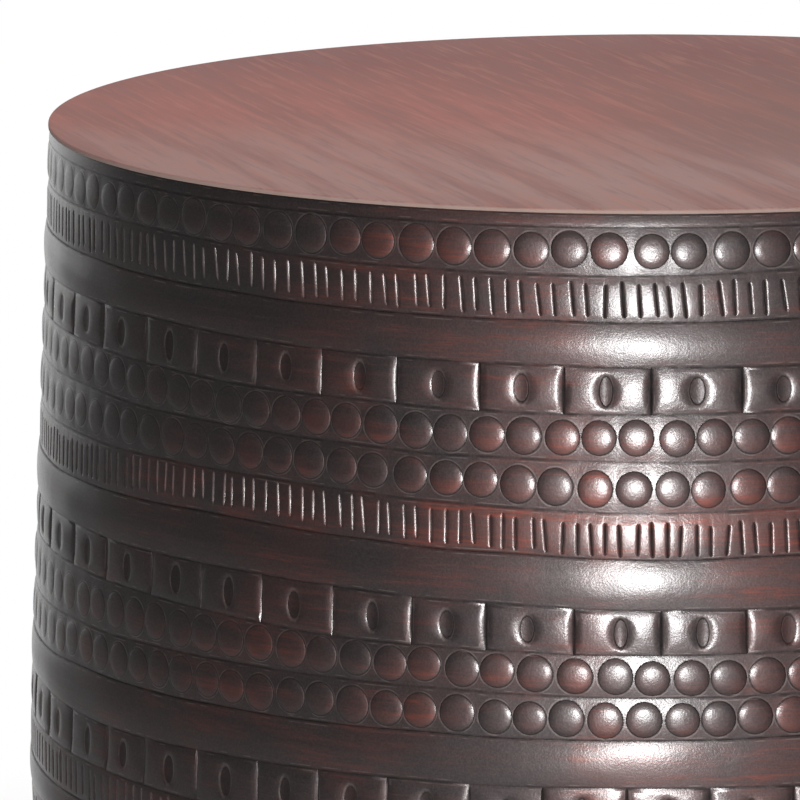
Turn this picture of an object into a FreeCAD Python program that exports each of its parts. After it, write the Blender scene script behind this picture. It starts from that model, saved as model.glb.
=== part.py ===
import FreeCAD
import Part
import itertools
import math
import os
import Sketcher

# Drum side table. Millimetres, +Z up, origin on the floor below the middle of the round top.
# A rolled sheet wall carries a flat top plate; hoops, braces and levelling glides sit inside it.

DRIVING_SIZES = {
    # whole table
    "table_height": 460,
    "floor_gap": 6,
    # top plate
    "top_diameter": 420,
    "top_thickness": 1.6,
    "top_edge_radius": 0.7,
    "plate_overhang": 0.4,
    # drum wall: outline, sheet and hem
    "belly_diameter": 439.6,
    "belly_zone": 50,
    "wall_thickness": 1.2,
    "wire_diameter": 4,
    "hem_play": 0.5,
    "hem_turn": 240,
    # drum wall: heights of the raised rings, from either end to the belly
    "collar_height": 4.2,
    "dome_row_outer": 14.2,
    "tick_row_outer": 16.1,
    "plain_band_outer": 14.1,
    "panel_row_outer": 15.1,
    "dome_row_second": 15.4,
    "dome_row_third": 15.9,
    "tick_row_middle": 15.4,
    "plain_band_middle": 17.3,
    "panel_row_middle": 13.9,
    "dome_row_fourth": 14.1,
    "dome_row_inner": 13.9,
    "plain_band_inner": 15.6,
    "panel_row_inner": 17.0,
    "tick_row_inner": 15.5,
    "least_belly_band": 10,
    # drum wall: how far the collars and the plain bands swell out from the outline
    "collar_crown": 0.25,
    "plain_crown": 0.3,
    # hoops and braces of flat bar
    "hoop_height": 20,
    "hoop_thickness": 3,
    "brace_width": 25,
    "brace_thickness": 4,
    "seat_gap": 0.2,
    # foot brackets and weld nuts
    "bracket_width": 26,
    "bracket_thickness": 3,
    "bracket_upright": 22,
    "bracket_reach": 34,
    "bracket_bend": 2,
    "bracket_corner": 6,
    "bracket_hole": 9,
    "foot_inset": 19,
    "nut_flats": 13,
    "nut_height": 6.5,
    # levelling glides
    "glide_travel": 10,
    "stem_diameter": 8,
    "stem_spare": 2,
    "stem_chamfer": 1,
    "thread_play": 0.05,
    "hex_flats": 12,
    "hex_height": 5,
    "neck_diameter": 9,
    "flange_diameter": 15,
    "flange_thickness": 3,
    "socket_play": 0.1,
    "turning_gap": 0.2,
    "stop_gap": 0.1,
    "pad_diameter": 28,
    "pad_height": 8,
    "pad_floor": 2.4,
    "pad_shoulder": 3,
    "pad_toe": 1.2,
}

# Rings from either end towards the belly: height of each and its crown, both by name.
# Rows that carry punched marks have no crown and stay straight between their two edges.
RING_ORDER = [
    ("dome_row_outer", None),
    ("tick_row_outer", None),
    ("plain_band_outer", "plain_crown"),
    ("panel_row_outer", None),
    ("dome_row_second", None),
    ("dome_row_third", None),
    ("tick_row_middle", None),
    ("plain_band_middle", "plain_crown"),
    ("panel_row_middle", None),
    ("dome_row_fourth", None),
    ("dome_row_inner", None),
    ("plain_band_inner", "plain_crown"),
    ("panel_row_inner", None),
    ("tick_row_inner", None),
]

# The four feet stand on the X and Y axes.
FOOT_ANGLES = {1: 0, 2: 90, 3: 180, 4: 270}
FULL_TURN = 360
HEX_SIDES = 6
UP = FreeCAD.Vector(0, 0, 1)


class Size:
    """A length as a number together with the sheet expression that gives it."""

    def __init__(self, text, number):
        self.text = text
        self.number = number

    def joined(self, sign, other, number):
        other_text = other.text if isinstance(other, Size) else str(other)
        return Size(f"({self.text} {sign} {other_text})", number)

    def __add__(self, other):
        return self.joined("+", other, self.number + plain(other))

    def __sub__(self, other):
        return self.joined("-", other, self.number - plain(other))

    def __mul__(self, other):
        return self.joined("*", other, self.number * plain(other))

    def __truediv__(self, other):
        return self.joined("/", other, self.number / plain(other))


def plain(value):
    """The number of a Size, or a bare number as it is."""
    return value.number if isinstance(value, Size) else value


def root(value):
    """Square root of a Size."""
    return Size(f"sqrt({value.text})", math.sqrt(value.number))


def least(one, other):
    """The smaller of two Sizes."""
    return Size(f"min({one.text}; {other.text})", min(one.number, other.number))


ORIGIN = Size("0", 0.0)

doc = FreeCAD.newDocument("drum_side_table")
sheet = doc.addObject("Spreadsheet::Sheet", "sizes")
for row, (alias, value) in enumerate(DRIVING_SIZES.items(), start=1):
    sheet.set(f"A{row}", str(value))
    sheet.setAlias(f"A{row}", alias)
doc.recompute()

nodes = []


def size(alias):
    """The named size of the sheet."""
    return Size(f"sizes.{alias}", float(sheet.get(alias)))


def bind(obj, prop, value):
    """Tie a property of an object to the sheet."""
    obj.setExpression(prop, value.text)


def add_node(obj, label):
    """Name a finished piece and keep it for the files."""
    obj.Label = label
    nodes.append(obj)
    return obj


def plane_of(body, role):
    """One of a body's own origin planes."""
    return next(item for item in body.Origin.OriginFeatures if item.Role == role)


def new_sketch(body, name, role):
    """An empty sketch on one of the body's origin planes."""
    sketch = body.newObject("Sketcher::SketchObject", name)
    sketch.AttachmentSupport = (plane_of(body, role), [""])
    sketch.MapMode = "FlatFace"
    return sketch


def draw_outline(body, name, role, corners):
    """A closed outline of straight lines, each corner tied to the sheet in both directions."""
    sketch = new_sketch(body, name, role)
    points = [FreeCAD.Vector(across.number, along.number, 0) for across, along in corners]
    for start, end in zip(points, points[1:] + points[:1]):
        sketch.addGeometry(Part.LineSegment(start, end), False)
    count = len(points)
    for index in range(count):
        sketch.addConstraint(Sketcher.Constraint("Coincident", index, 2, (index + 1) % count, 1))
    for index, (across, along) in enumerate(corners):
        place_corner(sketch, index, "DistanceX", across, -2)
        place_corner(sketch, index, "DistanceY", along, -1)
    return sketch


def place_corner(sketch, index, kind, value, axis):
    """Hold one corner at its distance from the origin, or on the axis where that is zero."""
    if value.number == 0:
        sketch.addConstraint(Sketcher.Constraint("PointOnObject", index, 1, axis))
        return
    constraint = Sketcher.Constraint(kind, -1, 1, index, 1, value.number)
    number = sketch.addConstraint(constraint)
    sketch.setExpression(f"Constraints[{number}]", value.text)


def draw_circle(body, name, role, centre, radius):
    """A circle with its centre on the horizontal axis of the plane."""
    sketch = new_sketch(body, name, role)
    middle = FreeCAD.Vector(centre.number, 0, 0)
    sketch.addGeometry(Part.Circle(middle, FreeCAD.Vector(0, 0, 1), radius.number), False)
    place_corner_of_circle(sketch, centre)
    number = sketch.addConstraint(Sketcher.Constraint("Radius", 0, radius.number))
    sketch.setExpression(f"Constraints[{number}]", radius.text)
    return sketch


def place_corner_of_circle(sketch, centre):
    """Hold a circle's centre on the horizontal axis at its distance from the origin."""
    if centre.number == 0:
        sketch.addConstraint(Sketcher.Constraint("Coincident", 0, 3, -1, 1))
        return
    sketch.addConstraint(Sketcher.Constraint("PointOnObject", 0, 3, -1))
    number = sketch.addConstraint(Sketcher.Constraint("DistanceX", -1, 1, 0, 3, centre.number))
    sketch.setExpression(f"Constraints[{number}]", centre.text)


def turned_body(label, corners):
    """A body turned about Z from half its section, given as distances from the axis and heights."""
    body = doc.addObject("PartDesign::Body", label)
    sketch = draw_outline(body, f"{label}_section", "XZ_Plane", corners)
    turning = body.newObject("PartDesign::Revolution", f"{label}_turning")
    turning.Profile = sketch
    turning.ReferenceAxis = (sketch, ["V_Axis"])
    turning.Angle = FULL_TURN
    return body


def rectangle(inner, outer, low, high):
    """Corners of an upright rectangle."""
    return [(inner, low), (outer, low), (outer, high), (inner, high)]


def edges_at(shape, wanted):
    """Names of a shape's edges whose middle meets the test."""
    names = []
    for number, edge in enumerate(shape.Edges, start=1):
        if wanted(edge, edge.CenterOfMass):
            names.append(f"Edge{number}")
    return names


def close_to(one, other):
    """Whether two lengths agree to a hundredth of a millimetre."""
    return abs(one - other) < 0.01


# Levels and radii shared by several pieces.
plate_radius = size("top_diameter") / 2
plate_under = size("table_height") - size("top_thickness")
rim_radius = plate_radius - size("plate_overhang")
curl_inner = size("wire_diameter") / 2 + size("hem_play")
curl_outer = curl_inner + size("wall_thickness")
hem_level = size("floor_gap") + curl_outer
wall_half = (plate_under - hem_level) / 2
wall_middle = hem_level + wall_half
# The straight ends of the outline lean out by this much per millimetre.
taper = (size("belly_diameter") / 2 - rim_radius) / (wall_half - size("belly_zone") / 4)


def outline_radius(level):
    """Radius of the wall's valleys at a level: straight tapers joined by one rounded belly."""
    reach = abs(level - wall_middle.number)
    flat = size("belly_zone").number / 2
    belly = size("belly_diameter").number / 2
    lean = taper.number
    if reach <= flat:
        return belly - lean * reach * reach / (2 * flat)
    return belly - lean * flat / 2 - lean * (reach - flat)


def ring_chain():
    """Heights and crowns of all rings from the top down; the belly band takes the room left."""
    collar = (size("collar_height").number, size("collar_crown").number)
    room = 2 * wall_half.number - 2 * collar[0]
    half = [collar]
    for height_name, crown_name in itertools.cycle(RING_ORDER):
        height = size(height_name).number
        crown = size(crown_name).number if crown_name else 0.0
        if room - 2 * height < size("least_belly_band").number:
            break
        half.append((height, crown))
        room -= 2 * height
    return half + [(room, size("plain_crown").number)] + half[::-1]


def ring_edges(rings, sheet_offset):
    """An arc or a straight edge for each ring, from the top down, moved in by the sheet offset."""
    edges = []
    level = plate_under.number
    for height, crown in rings:
        top = FreeCAD.Vector(outline_radius(level) - sheet_offset, 0, level)
        low = level - height
        bottom = FreeCAD.Vector(outline_radius(low) - sheet_offset, 0, low)
        chord = (bottom - top).normalize()
        outward = FreeCAD.Vector(-chord.z, 0, chord.x)
        crest = (top + bottom) * 0.5 + outward * crown
        edges.append(Part.Arc(top, crest, bottom).toShape() if crown else Part.makeLine(top, bottom))
        level = low
    return edges


def curl_point(radius, turn):
    """A point of the hem's curl, a number of degrees past the outside of the wall."""
    angle = math.radians(-turn)
    centre = rim_radius.number - curl_outer.number
    across = centre + radius.number * math.cos(angle)
    return FreeCAD.Vector(across, 0, hem_level.number + radius.number * math.sin(angle))


def curl_arc(radius, start, end):
    """An arc of the hem's curl between two turns."""
    middle = (start + end) / 2
    points = [curl_point(radius, turn) for turn in (start, middle, end)]
    return Part.Arc(*points).toShape()


# Drum wall: a chain of raised rings on a bellied outline, with the bottom edge curled over a wire.
rings = ring_chain()
outside = ring_edges(rings, 0.0)
inside = ring_edges(rings, size("wall_thickness").number)
hem_end = size("hem_turn").number
outer_curl = curl_arc(curl_outer, 0, hem_end)
curl_lip = Part.makeLine(curl_point(curl_outer, hem_end), curl_point(curl_inner, hem_end))
inner_curl = curl_arc(curl_inner, hem_end, 0)
top_edge = Part.makeLine(inside[0].Vertexes[0].Point, outside[0].Vertexes[0].Point)
section_edges = outside + [outer_curl, curl_lip, inner_curl] + inside[::-1] + [top_edge]
wall_section = doc.addObject("Part::Feature", "drum_wall_section")
wall_section.Shape = Part.Face(Part.Wire(Part.__sortEdges__(section_edges)))
drum_wall = doc.addObject("Part::Revolution", "drum_wall")
drum_wall.Source = wall_section
drum_wall.Axis = UP
drum_wall.Angle = FULL_TURN
drum_wall.Solid = True
add_node(drum_wall, "drum_wall")

# Base wire: round wire held in the curl.
base_wire = doc.addObject("Part::Torus", "base_wire")
bind(base_wire, "Radius1", rim_radius - curl_outer)
bind(base_wire, "Radius2", size("wire_diameter") / 2)
bind(base_wire, "Placement.Base.z", hem_level)
add_node(base_wire, "base_wire")

# Top plate: a flat disc with its upper edge eased.
top_plate = doc.addObject("PartDesign::Body", "top_plate")
disc_outline = draw_circle(top_plate, "top_plate_outline", "XY_Plane", ORIGIN, plate_radius)
bind(disc_outline, "AttachmentOffset.Base.z", plate_under)
disc = top_plate.newObject("PartDesign::Pad", "top_plate_disc")
disc.Profile = disc_outline
bind(disc, "Length", size("top_thickness"))
doc.recompute()
rim_edges = edges_at(disc.Shape, lambda edge, middle: close_to(middle.z, sheet.get("table_height")))
easing = top_plate.newObject("PartDesign::Fillet", "top_plate_easing")
easing.Base = (disc, rim_edges)
bind(easing, "Radius", size("top_edge_radius"))
add_node(top_plate, "top_plate")


def hoop(label, outer, low):
    """A flat bar rolled to a ring."""
    inner = outer - size("hoop_thickness")
    return add_node(turned_body(label, rectangle(inner, outer, low, low + size("hoop_height"))), label)


# Hoops: the top one under the plate, the base one just above the hem, both against the wall.
# The wall leans, so a hoop is rolled to the narrower of the two ends that it spans.
wall_inner = rim_radius - size("wall_thickness") - size("seat_gap")
top_hoop_outer = wall_inner + least(ORIGIN, taper * size("hoop_height"))
hoop("top_hoop", top_hoop_outer, plate_under - size("hoop_height"))
base_hoop_low = hem_level + curl_outer + size("seat_gap")
base_hoop_rise = base_hoop_low - hem_level
base_hoop_lean = least(taper * base_hoop_rise, taper * (base_hoop_rise + size("hoop_height")))
base_hoop_outer = wall_inner + base_hoop_lean
base_hoop_inner = base_hoop_outer - size("hoop_thickness")
hoop("base_hoop", base_hoop_outer, base_hoop_low)

# Brace bars: flat bars against the plate, their ends rounded to the top hoop.
brace_end = top_hoop_outer - size("hoop_thickness") - size("seat_gap")
brace_under = plate_under - size("brace_thickness")


def brace(label, start, length, turn):
    """A bar that starts at a distance from the middle and is cut round at the hoop."""
    bar = doc.addObject("Part::Box", f"{label}_bar")
    bind(bar, "Length", length)
    bind(bar, "Width", size("brace_width"))
    bind(bar, "Height", size("brace_thickness"))
    bind(bar, "Placement.Base.x", start)
    bind(bar, "Placement.Base.y", size("brace_width") * -0.5)
    bind(bar, "Placement.Base.z", brace_under)
    reach = doc.addObject("Part::Cylinder", f"{label}_reach")
    bind(reach, "Radius", brace_end)
    bind(reach, "Height", size("brace_thickness"))
    bind(reach, "Placement.Base.z", brace_under)
    cut_bar = doc.addObject("Part::Common", label)
    cut_bar.Base = bar
    cut_bar.Tool = reach
    cut_bar.Placement = FreeCAD.Placement(FreeCAD.Vector(), FreeCAD.Rotation(UP, turn))
    return add_node(cut_bar, label)


half_start = size("brace_width") / 2
brace("brace_long", brace_end * -1, brace_end * 2, 90)
brace("brace_half_right", half_start, brace_end - half_start, 0)
brace("brace_half_left", half_start, brace_end - half_start, 180)

# Levels up a foot, from the floor: pad, wrench hexagon, bracket, nut, spare thread.
flange_low = size("pad_floor") + size("socket_play")
flange_high = flange_low + size("flange_thickness")
socket_high = flange_high + size("socket_play")
hex_low = size("pad_height") + size("turning_gap")
hex_high = hex_low + size("hex_height")
bracket_low = hex_high + size("stop_gap")
nut_low = bracket_low + size("bracket_thickness")
stem_high = nut_low + size("nut_height") + size("glide_travel") + size("stem_spare")
half_bracket = size("bracket_width") / 2
bracket_back = root(base_hoop_inner * base_hoop_inner - half_bracket * half_bracket) - size("seat_gap")
foot_radius = bracket_back - size("foot_inset")


def foot_bracket(label):
    """A bent strip: upright leg against the base hoop, level leg with the stem's hole."""
    body = doc.addObject("PartDesign::Body", label)
    inner_end = bracket_back - size("bracket_reach")
    upright_face = bracket_back - size("bracket_thickness")
    tip = bracket_low + size("bracket_upright")
    corners = [
        (inner_end, bracket_low),
        (bracket_back, bracket_low),
        (bracket_back, tip),
        (upright_face, tip),
        (upright_face, nut_low),
        (inner_end, nut_low),
    ]
    strip = body.newObject("PartDesign::Pad", f"{label}_strip")
    strip.Profile = draw_outline(body, f"{label}_bend", "XZ_Plane", corners)
    strip.SideType = "Symmetric"
    bind(strip, "Length", size("bracket_width"))
    doc.recompute()
    heel = edges_at(strip.Shape, lambda edge, at: close_to(at.x, bracket_back.number)
                    and close_to(at.z, bracket_low.number))
    outer_bend = body.newObject("PartDesign::Fillet", f"{label}_outer_bend")
    outer_bend.Base = (strip, heel)
    bind(outer_bend, "Radius", size("bracket_bend") + size("bracket_thickness"))
    doc.recompute()
    crook = edges_at(outer_bend.Shape, lambda edge, at: close_to(at.x, upright_face.number)
                     and close_to(at.z, nut_low.number))
    inner_bend = body.newObject("PartDesign::Fillet", f"{label}_inner_bend")
    inner_bend.Base = (outer_bend, crook)
    bind(inner_bend, "Radius", size("bracket_bend"))
    doc.recompute()
    level_middle = (bracket_low.number + nut_low.number) / 2
    ends = edges_at(inner_bend.Shape, lambda edge, at: close_to(at.x, inner_end.number)
                    and close_to(at.z, level_middle))
    corner = body.newObject("PartDesign::Fillet", f"{label}_corners")
    corner.Base = (inner_bend, ends)
    bind(corner, "Radius", size("bracket_corner"))
    hole = body.newObject("PartDesign::Pocket", f"{label}_hole")
    hole.Profile = draw_circle(body, f"{label}_hole_outline", "XY_Plane", foot_radius,
                               size("bracket_hole") / 2)
    hole.Type = "ThroughAll"
    hole.SideType = "Symmetric"
    return body


def weld_nut(label):
    """A plain hexagon nut standing on the bracket."""
    block = doc.addObject("Part::Prism", f"{label}_block")
    block.Polygon = HEX_SIDES
    bind(block, "Circumradius", size("nut_flats") / math.sqrt(3))
    bore = doc.addObject("Part::Cylinder", f"{label}_bore")
    bind(bore, "Radius", size("stem_diameter") / 2 + size("thread_play"))
    for blank in (block, bore):
        bind(blank, "Height", size("nut_height"))
        bind(blank, "Placement.Base.x", foot_radius)
        bind(blank, "Placement.Base.z", nut_low)
    nut = doc.addObject("Part::Cut", label)
    nut.Base = block
    nut.Tool = bore
    return nut


def glide_stem(label):
    """A turned stem with a captive flange, a wrench hexagon and a chamfered thread end."""
    stem = size("stem_diameter") / 2
    neck = size("neck_diameter") / 2
    flange = size("flange_diameter") / 2
    corners = [
        (ORIGIN, flange_low),
        (flange, flange_low),
        (flange, flange_high),
        (neck, flange_high),
        (neck, hex_high),
        (stem, hex_high),
        (stem, stem_high - size("stem_chamfer")),
        (stem - size("stem_chamfer"), stem_high),
        (ORIGIN, stem_high),
    ]
    body = turned_body(label, corners)
    hexagon = body.newObject("PartDesign::AdditivePrism", f"{label}_hexagon")
    hexagon.AttachmentSupport = (plane_of(body, "XY_Plane"), [""])
    hexagon.MapMode = "FlatFace"
    hexagon.Polygon = HEX_SIDES
    bind(hexagon, "AttachmentOffset.Base.z", hex_low)
    bind(hexagon, "Circumradius", size("hex_flats") / math.sqrt(3))
    bind(hexagon, "Height", size("hex_height"))
    return body


def glide_pad(label):
    """A moulded pad with a socket that snaps over the stem's flange."""
    pad = size("pad_diameter") / 2
    socket = size("flange_diameter") / 2 + size("socket_play")
    mouth = size("neck_diameter") / 2 + size("socket_play")
    corners = [
        (ORIGIN, ORIGIN),
        (pad - size("pad_toe"), ORIGIN),
        (pad, size("pad_toe")),
        (pad, size("pad_height") - size("pad_shoulder")),
        (pad - size("pad_shoulder"), size("pad_height")),
        (mouth, size("pad_height")),
        (mouth, socket_high),
        (socket, socket_high),
        (socket, size("pad_floor")),
        (ORIGIN, size("pad_floor")),
    ]
    return turned_body(label, corners)


def turn_to_foot(obj, degrees):
    """Turn a piece that is drawn on the +X side round to its own foot."""
    obj.Placement = FreeCAD.Placement(FreeCAD.Vector(), FreeCAD.Rotation(UP, degrees))


def move_to_foot(obj, degrees):
    """Turn a piece that is drawn on the Z axis and move it out to its own foot."""
    turn_to_foot(obj, degrees)
    bind(obj, "Placement.Base.x", foot_radius * round(math.cos(math.radians(degrees)), 6))
    bind(obj, "Placement.Base.y", foot_radius * round(math.sin(math.radians(degrees)), 6))


# Feet: bracket, weld nut, stem and pad at each of the four places.
nuts = []
for foot, degrees in FOOT_ANGLES.items():
    bracket = add_node(foot_bracket(f"foot_bracket_{foot}"), f"foot_bracket_{foot}")
    turn_to_foot(bracket, degrees)
    nut = weld_nut(f"foot_nut_{foot}")
    turn_to_foot(nut, degrees)
    nuts.append(nut)
    stem_body = add_node(glide_stem(f"glide_stem_{foot}"), f"glide_stem_{foot}")
    move_to_foot(stem_body, degrees)
    pad_body = add_node(glide_pad(f"glide_pad_{foot}"), f"glide_pad_{foot}")
    move_to_foot(pad_body, degrees)
foot_nuts = doc.addObject("Part::Compound", "foot_nuts")
foot_nuts.Links = nuts
add_node(foot_nuts, "foot_nuts")

doc.recompute()

failed = [obj.Name for obj in doc.Objects if "Invalid" in obj.State or "Error" in obj.State]
if failed:
    raise RuntimeError(f"objects that did not build: {failed}")
for node in nodes:
    if node.Shape.isNull() or not node.Shape.isValid():
        raise RuntimeError(f"{node.Label} has no valid shape")

os.makedirs("parts", exist_ok=True)
for node in nodes:
    node.Shape.exportStep(f"parts/{node.Label}.step")
    box = node.Shape.BoundBox
    print(f"{node.Label}: {len(node.Shape.Solids)} solid, {node.Shape.Volume:.1f} mm3,"
          f" z {box.ZMin:.2f} to {box.ZMax:.2f}, reach {box.XMax:.2f}")
print(f"rings in the wall: {len(rings)}, belly band {rings[len(rings) // 2][0]:.2f} mm high")
print(f"foot circle radius {foot_radius.number:.3f} mm, bracket underside {bracket_low.number:.2f} mm")
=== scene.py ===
# %% [markdown]
# Drum side table in dark bronze-brown metal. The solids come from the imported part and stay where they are.
# This lesson dresses them: the drum wall gets its hand-punched rows, the top its brushed sheet, and the feet
# their threads. Everything is in metres, +Z is up, and the floor is at zero.

# %% The fixed frame
import bpy
import math
import numpy as np
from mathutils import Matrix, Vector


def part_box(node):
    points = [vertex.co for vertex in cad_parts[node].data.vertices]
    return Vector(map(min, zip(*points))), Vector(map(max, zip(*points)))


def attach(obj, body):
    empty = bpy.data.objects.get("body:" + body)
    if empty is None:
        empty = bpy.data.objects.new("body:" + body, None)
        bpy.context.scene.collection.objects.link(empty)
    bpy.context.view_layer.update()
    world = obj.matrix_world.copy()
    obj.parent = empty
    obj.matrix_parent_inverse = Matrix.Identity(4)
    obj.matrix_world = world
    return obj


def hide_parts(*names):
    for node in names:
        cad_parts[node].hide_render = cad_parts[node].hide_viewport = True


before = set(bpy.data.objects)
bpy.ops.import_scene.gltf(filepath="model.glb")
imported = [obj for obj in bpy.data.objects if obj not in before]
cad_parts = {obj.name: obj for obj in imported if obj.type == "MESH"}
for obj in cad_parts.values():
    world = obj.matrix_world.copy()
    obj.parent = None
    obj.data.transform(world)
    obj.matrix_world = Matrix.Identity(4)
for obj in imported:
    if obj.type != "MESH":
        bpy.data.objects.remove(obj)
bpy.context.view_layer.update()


# %% [markdown]
# A mesh needs points and faces. Both could be typed into Blender one by one, but whole arrays are faster and
# keep the formula readable. This helper takes the points, any number of face tables and, if wanted, four
# numbers for each corner of each face. The first three tell a finish where it is inside a punched mark, and
# the fourth how far the patina was rubbed back there.

# %% From arrays to a piece
SMOOTH_BELOW = math.radians(38)


def mark_creases(mesh, pairs):
    """Set as sharp the edges whose two points are in the list, found by one number made of both points."""
    ends = np.empty(len(mesh.edges) * 2, np.int64)
    mesh.edges.foreach_get("vertices", ends)
    ends = np.sort(ends.reshape(-1, 2), axis=1)
    key = lambda table: table[:, 0] * len(mesh.vertices) + table[:, 1]
    sharp = np.empty(len(mesh.edges), bool)
    mesh.edges.foreach_get("use_edge_sharp", sharp)
    mesh.edges.foreach_set("use_edge_sharp", sharp | np.isin(key(ends), key(pairs)))


def make_piece(name, points, face_tables, corner_marks=None, creases=(), body="drum"):
    """A mesh object from points (n, 3) and face tables, smooth except at creases and edges over 38 degrees."""
    mesh = bpy.data.meshes.new(name)
    faces = [face for table in face_tables for face in np.asarray(table).tolist()]
    mesh.from_pydata(np.asarray(points, float).reshape(-1, 3).tolist(), [], faces)
    if corner_marks is not None:
        corner_marks = np.concatenate(corner_marks).astype(np.float32)
        layer = mesh.attributes.new("mark", "FLOAT_VECTOR", "CORNER")
        layer.data.foreach_set("vector", corner_marks[:, :3].ravel())
        layer = mesh.attributes.new("rub", "FLOAT", "CORNER")
        layer.data.foreach_set("value", corner_marks[:, 3].copy())
    mesh.polygons.foreach_set("use_smooth", np.ones(len(faces), bool))
    mesh.set_sharp_from_angle(angle=SMOOTH_BELOW)
    if len(creases):
        mark_creases(mesh, np.sort(np.concatenate(creases), axis=1))
    piece = bpy.data.objects.new(name, mesh)
    bpy.context.scene.collection.objects.link(piece)
    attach(piece, body)
    return piece


print("smooth below", round(math.degrees(SMOOTH_BELOW)), "degrees")

# %% [markdown]
# A piece is painted as soon as it is made, and the solids that it stands for are hidden.

# %% Painting a piece
def finish_piece(piece, material, slot, *nodes):
    """Give a piece its finish and hide the solids that it stands for. The slot is not used."""
    piece.data.materials.clear()
    piece.data.materials.append(material)
    if nodes:
        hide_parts(*nodes)
    print(f"{piece.name}: {len(piece.data.vertices)} points, {len(piece.data.polygons)} faces")
    return piece


print("painting ready")

# %% [markdown]
# Most other pieces are turned: hoops, pads, the top. A turned piece is a profile carried round the Z axis, so
# one function makes them all. Where the profile touches the axis the ring shrinks to one point, and a fan of
# triangles closes the pole.

# %% Turning a profile
ON_AXIS = 1e-9


def around(count):
    """Evenly spaced angles for one full turn."""
    return np.linspace(0, 2 * np.pi, count, endpoint=False)


def grid_faces(index):
    """Faces of a grid that closes on itself in its first direction, seen from outside."""
    nearby = np.roll(index, -1, axis=0)
    return np.stack([index[:, :-1], nearby[:, :-1], nearby[:, 1:], index[:, 1:]], axis=-1).reshape(-1, 4)


def turned(profile, count, centre=(0.0, 0.0), closed=False):
    """Points and faces of a profile of (radius, height) pairs turned about an upright axis.

    Point (i, j) is (radius_j cos angle_i, radius_j sin angle_i, height_j). The profile runs outside upwards.
    """
    profile = np.asarray(profile, float)
    low_pole = not closed and profile[0, 0] < ON_AXIS
    high_pole = not closed and profile[-1, 0] < ON_AXIS
    rings = profile[1 if low_pole else 0:len(profile) - (1 if high_pole else 0)]
    angle = around(count)[:, None]
    grid = np.stack([rings[:, 0] * np.cos(angle), rings[:, 0] * np.sin(angle),
                     np.broadcast_to(rings[:, 1], (count, len(rings)))], axis=-1)
    points = grid.reshape(-1, 3)
    index = np.arange(count * len(rings)).reshape(count, len(rings))
    nearby = np.roll(index, -1, axis=0)
    tables = [grid_faces(np.c_[index, index[:, :1]] if closed else index)]
    if low_pole:
        points = np.vstack([points, [0, 0, profile[0, 1]]])
        pole = np.full(count, len(points) - 1)
        tables.append(np.stack([pole, nearby[:, 0], index[:, 0]], axis=-1))
    if high_pole:
        points = np.vstack([points, [0, 0, profile[-1, 1]]])
        pole = np.full(count, len(points) - 1)
        tables.append(np.stack([pole, index[:, -1], nearby[:, -1]], axis=-1))
    return points + np.array([centre[0], centre[1], 0.0]), tables


print("turning ready")

# %% [markdown]
# Rolled bar and moulded pads have no knife edges, and it is the eased edge that catches a line of light. A
# Bevel modifier could do it on the mesh. Here the profile's corners are rounded before it is turned, which
# costs less.

# %% Easing a profile
def eased(profile, radius, steps=4):
    """Round every corner of a profile: each corner gives way to a quadratic curve between two points near it.

    The two points lie one radius before and after the corner, or 45 percent of the side if that is shorter.
    Corners on the axis stay as they are.
    """
    profile = np.asarray(profile, float)
    before, after = np.roll(profile, 1, axis=0) - profile, np.roll(profile, -1, axis=0) - profile
    t = np.linspace(0, 1, steps + 1)[None, :, None]
    length_before = np.linalg.norm(before, axis=1)[:, None]
    length_after = np.linalg.norm(after, axis=1)[:, None]
    keep = (profile[:, :1] > ON_AXIS) * 1.0
    start = profile + keep * before / length_before * np.minimum(radius, 0.45 * length_before)
    end = profile + keep * after / length_after * np.minimum(radius, 0.45 * length_after)
    bend = (1 - t) ** 2 * start[:, None] + 2 * t * (1 - t) * profile[:, None] + t ** 2 * end[:, None]
    flat = bend.reshape(-1, 2)
    return flat[np.r_[True, np.linalg.norm(np.diff(flat, axis=0), axis=1) > 1e-7]]


print("easing ready")

# %% [markdown]
# The drum wall follows one outline: straight tapers from both ends that meet in a soft belly. On the real
# table the wall is one sheet, but every row is worked on its own, so each row becomes a ring of its own here.
# The radius at any height comes from the same few sizes as the solid.

# %% The wall's outline
RIM_RADIUS = 0.2096
BELLY_RADIUS = 0.2198
BELLY_ZONE = 0.050
PLATE_UNDER = 0.4584
HEM_LEVEL = 0.0097
SHEET = 0.0012
WALL_MIDDLE = (PLATE_UNDER + HEM_LEVEL) / 2
WALL_LEAN = (BELLY_RADIUS - RIM_RADIUS) / ((PLATE_UNDER - HEM_LEVEL) / 2 - BELLY_ZONE / 4)


def outline(z):
    """Radius at height z, where reach is the distance from the wall's middle.

    Inside the belly zone: belly minus lean times reach squared over the zone. Beyond it: a straight line.
    """
    reach = np.abs(z - WALL_MIDDLE)
    half = BELLY_ZONE / 2
    inside = BELLY_RADIUS - WALL_LEAN * reach ** 2 / (2 * half)
    beyond = BELLY_RADIUS - WALL_LEAN * half / 2 - WALL_LEAN * (reach - half)
    return np.where(reach <= half, inside, beyond)


def on_wall(turn, z, rise):
    """Point at an azimuth (zero in front, growing to the right), a height and a rise off the outline."""
    radius = outline(z) + rise
    return np.stack(np.broadcast_arrays(radius * np.sin(turn), -radius * np.cos(turn), z), axis=-1)


print("outline radius at the rim and the belly:", outline(np.array([PLATE_UNDER, WALL_MIDDLE])).round(4))

# %% [markdown]
# The rows from the top down to the belly, as the photograph shows them. A row is a plain bulged band, a row
# of round domes, a row of short ticks, or panels with an oval between upright bars. Each has a name, a kind,
# a height in millimetres, a number of marks and the azimuth of the first one in degrees. The lower half
# repeats them in reverse.

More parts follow.
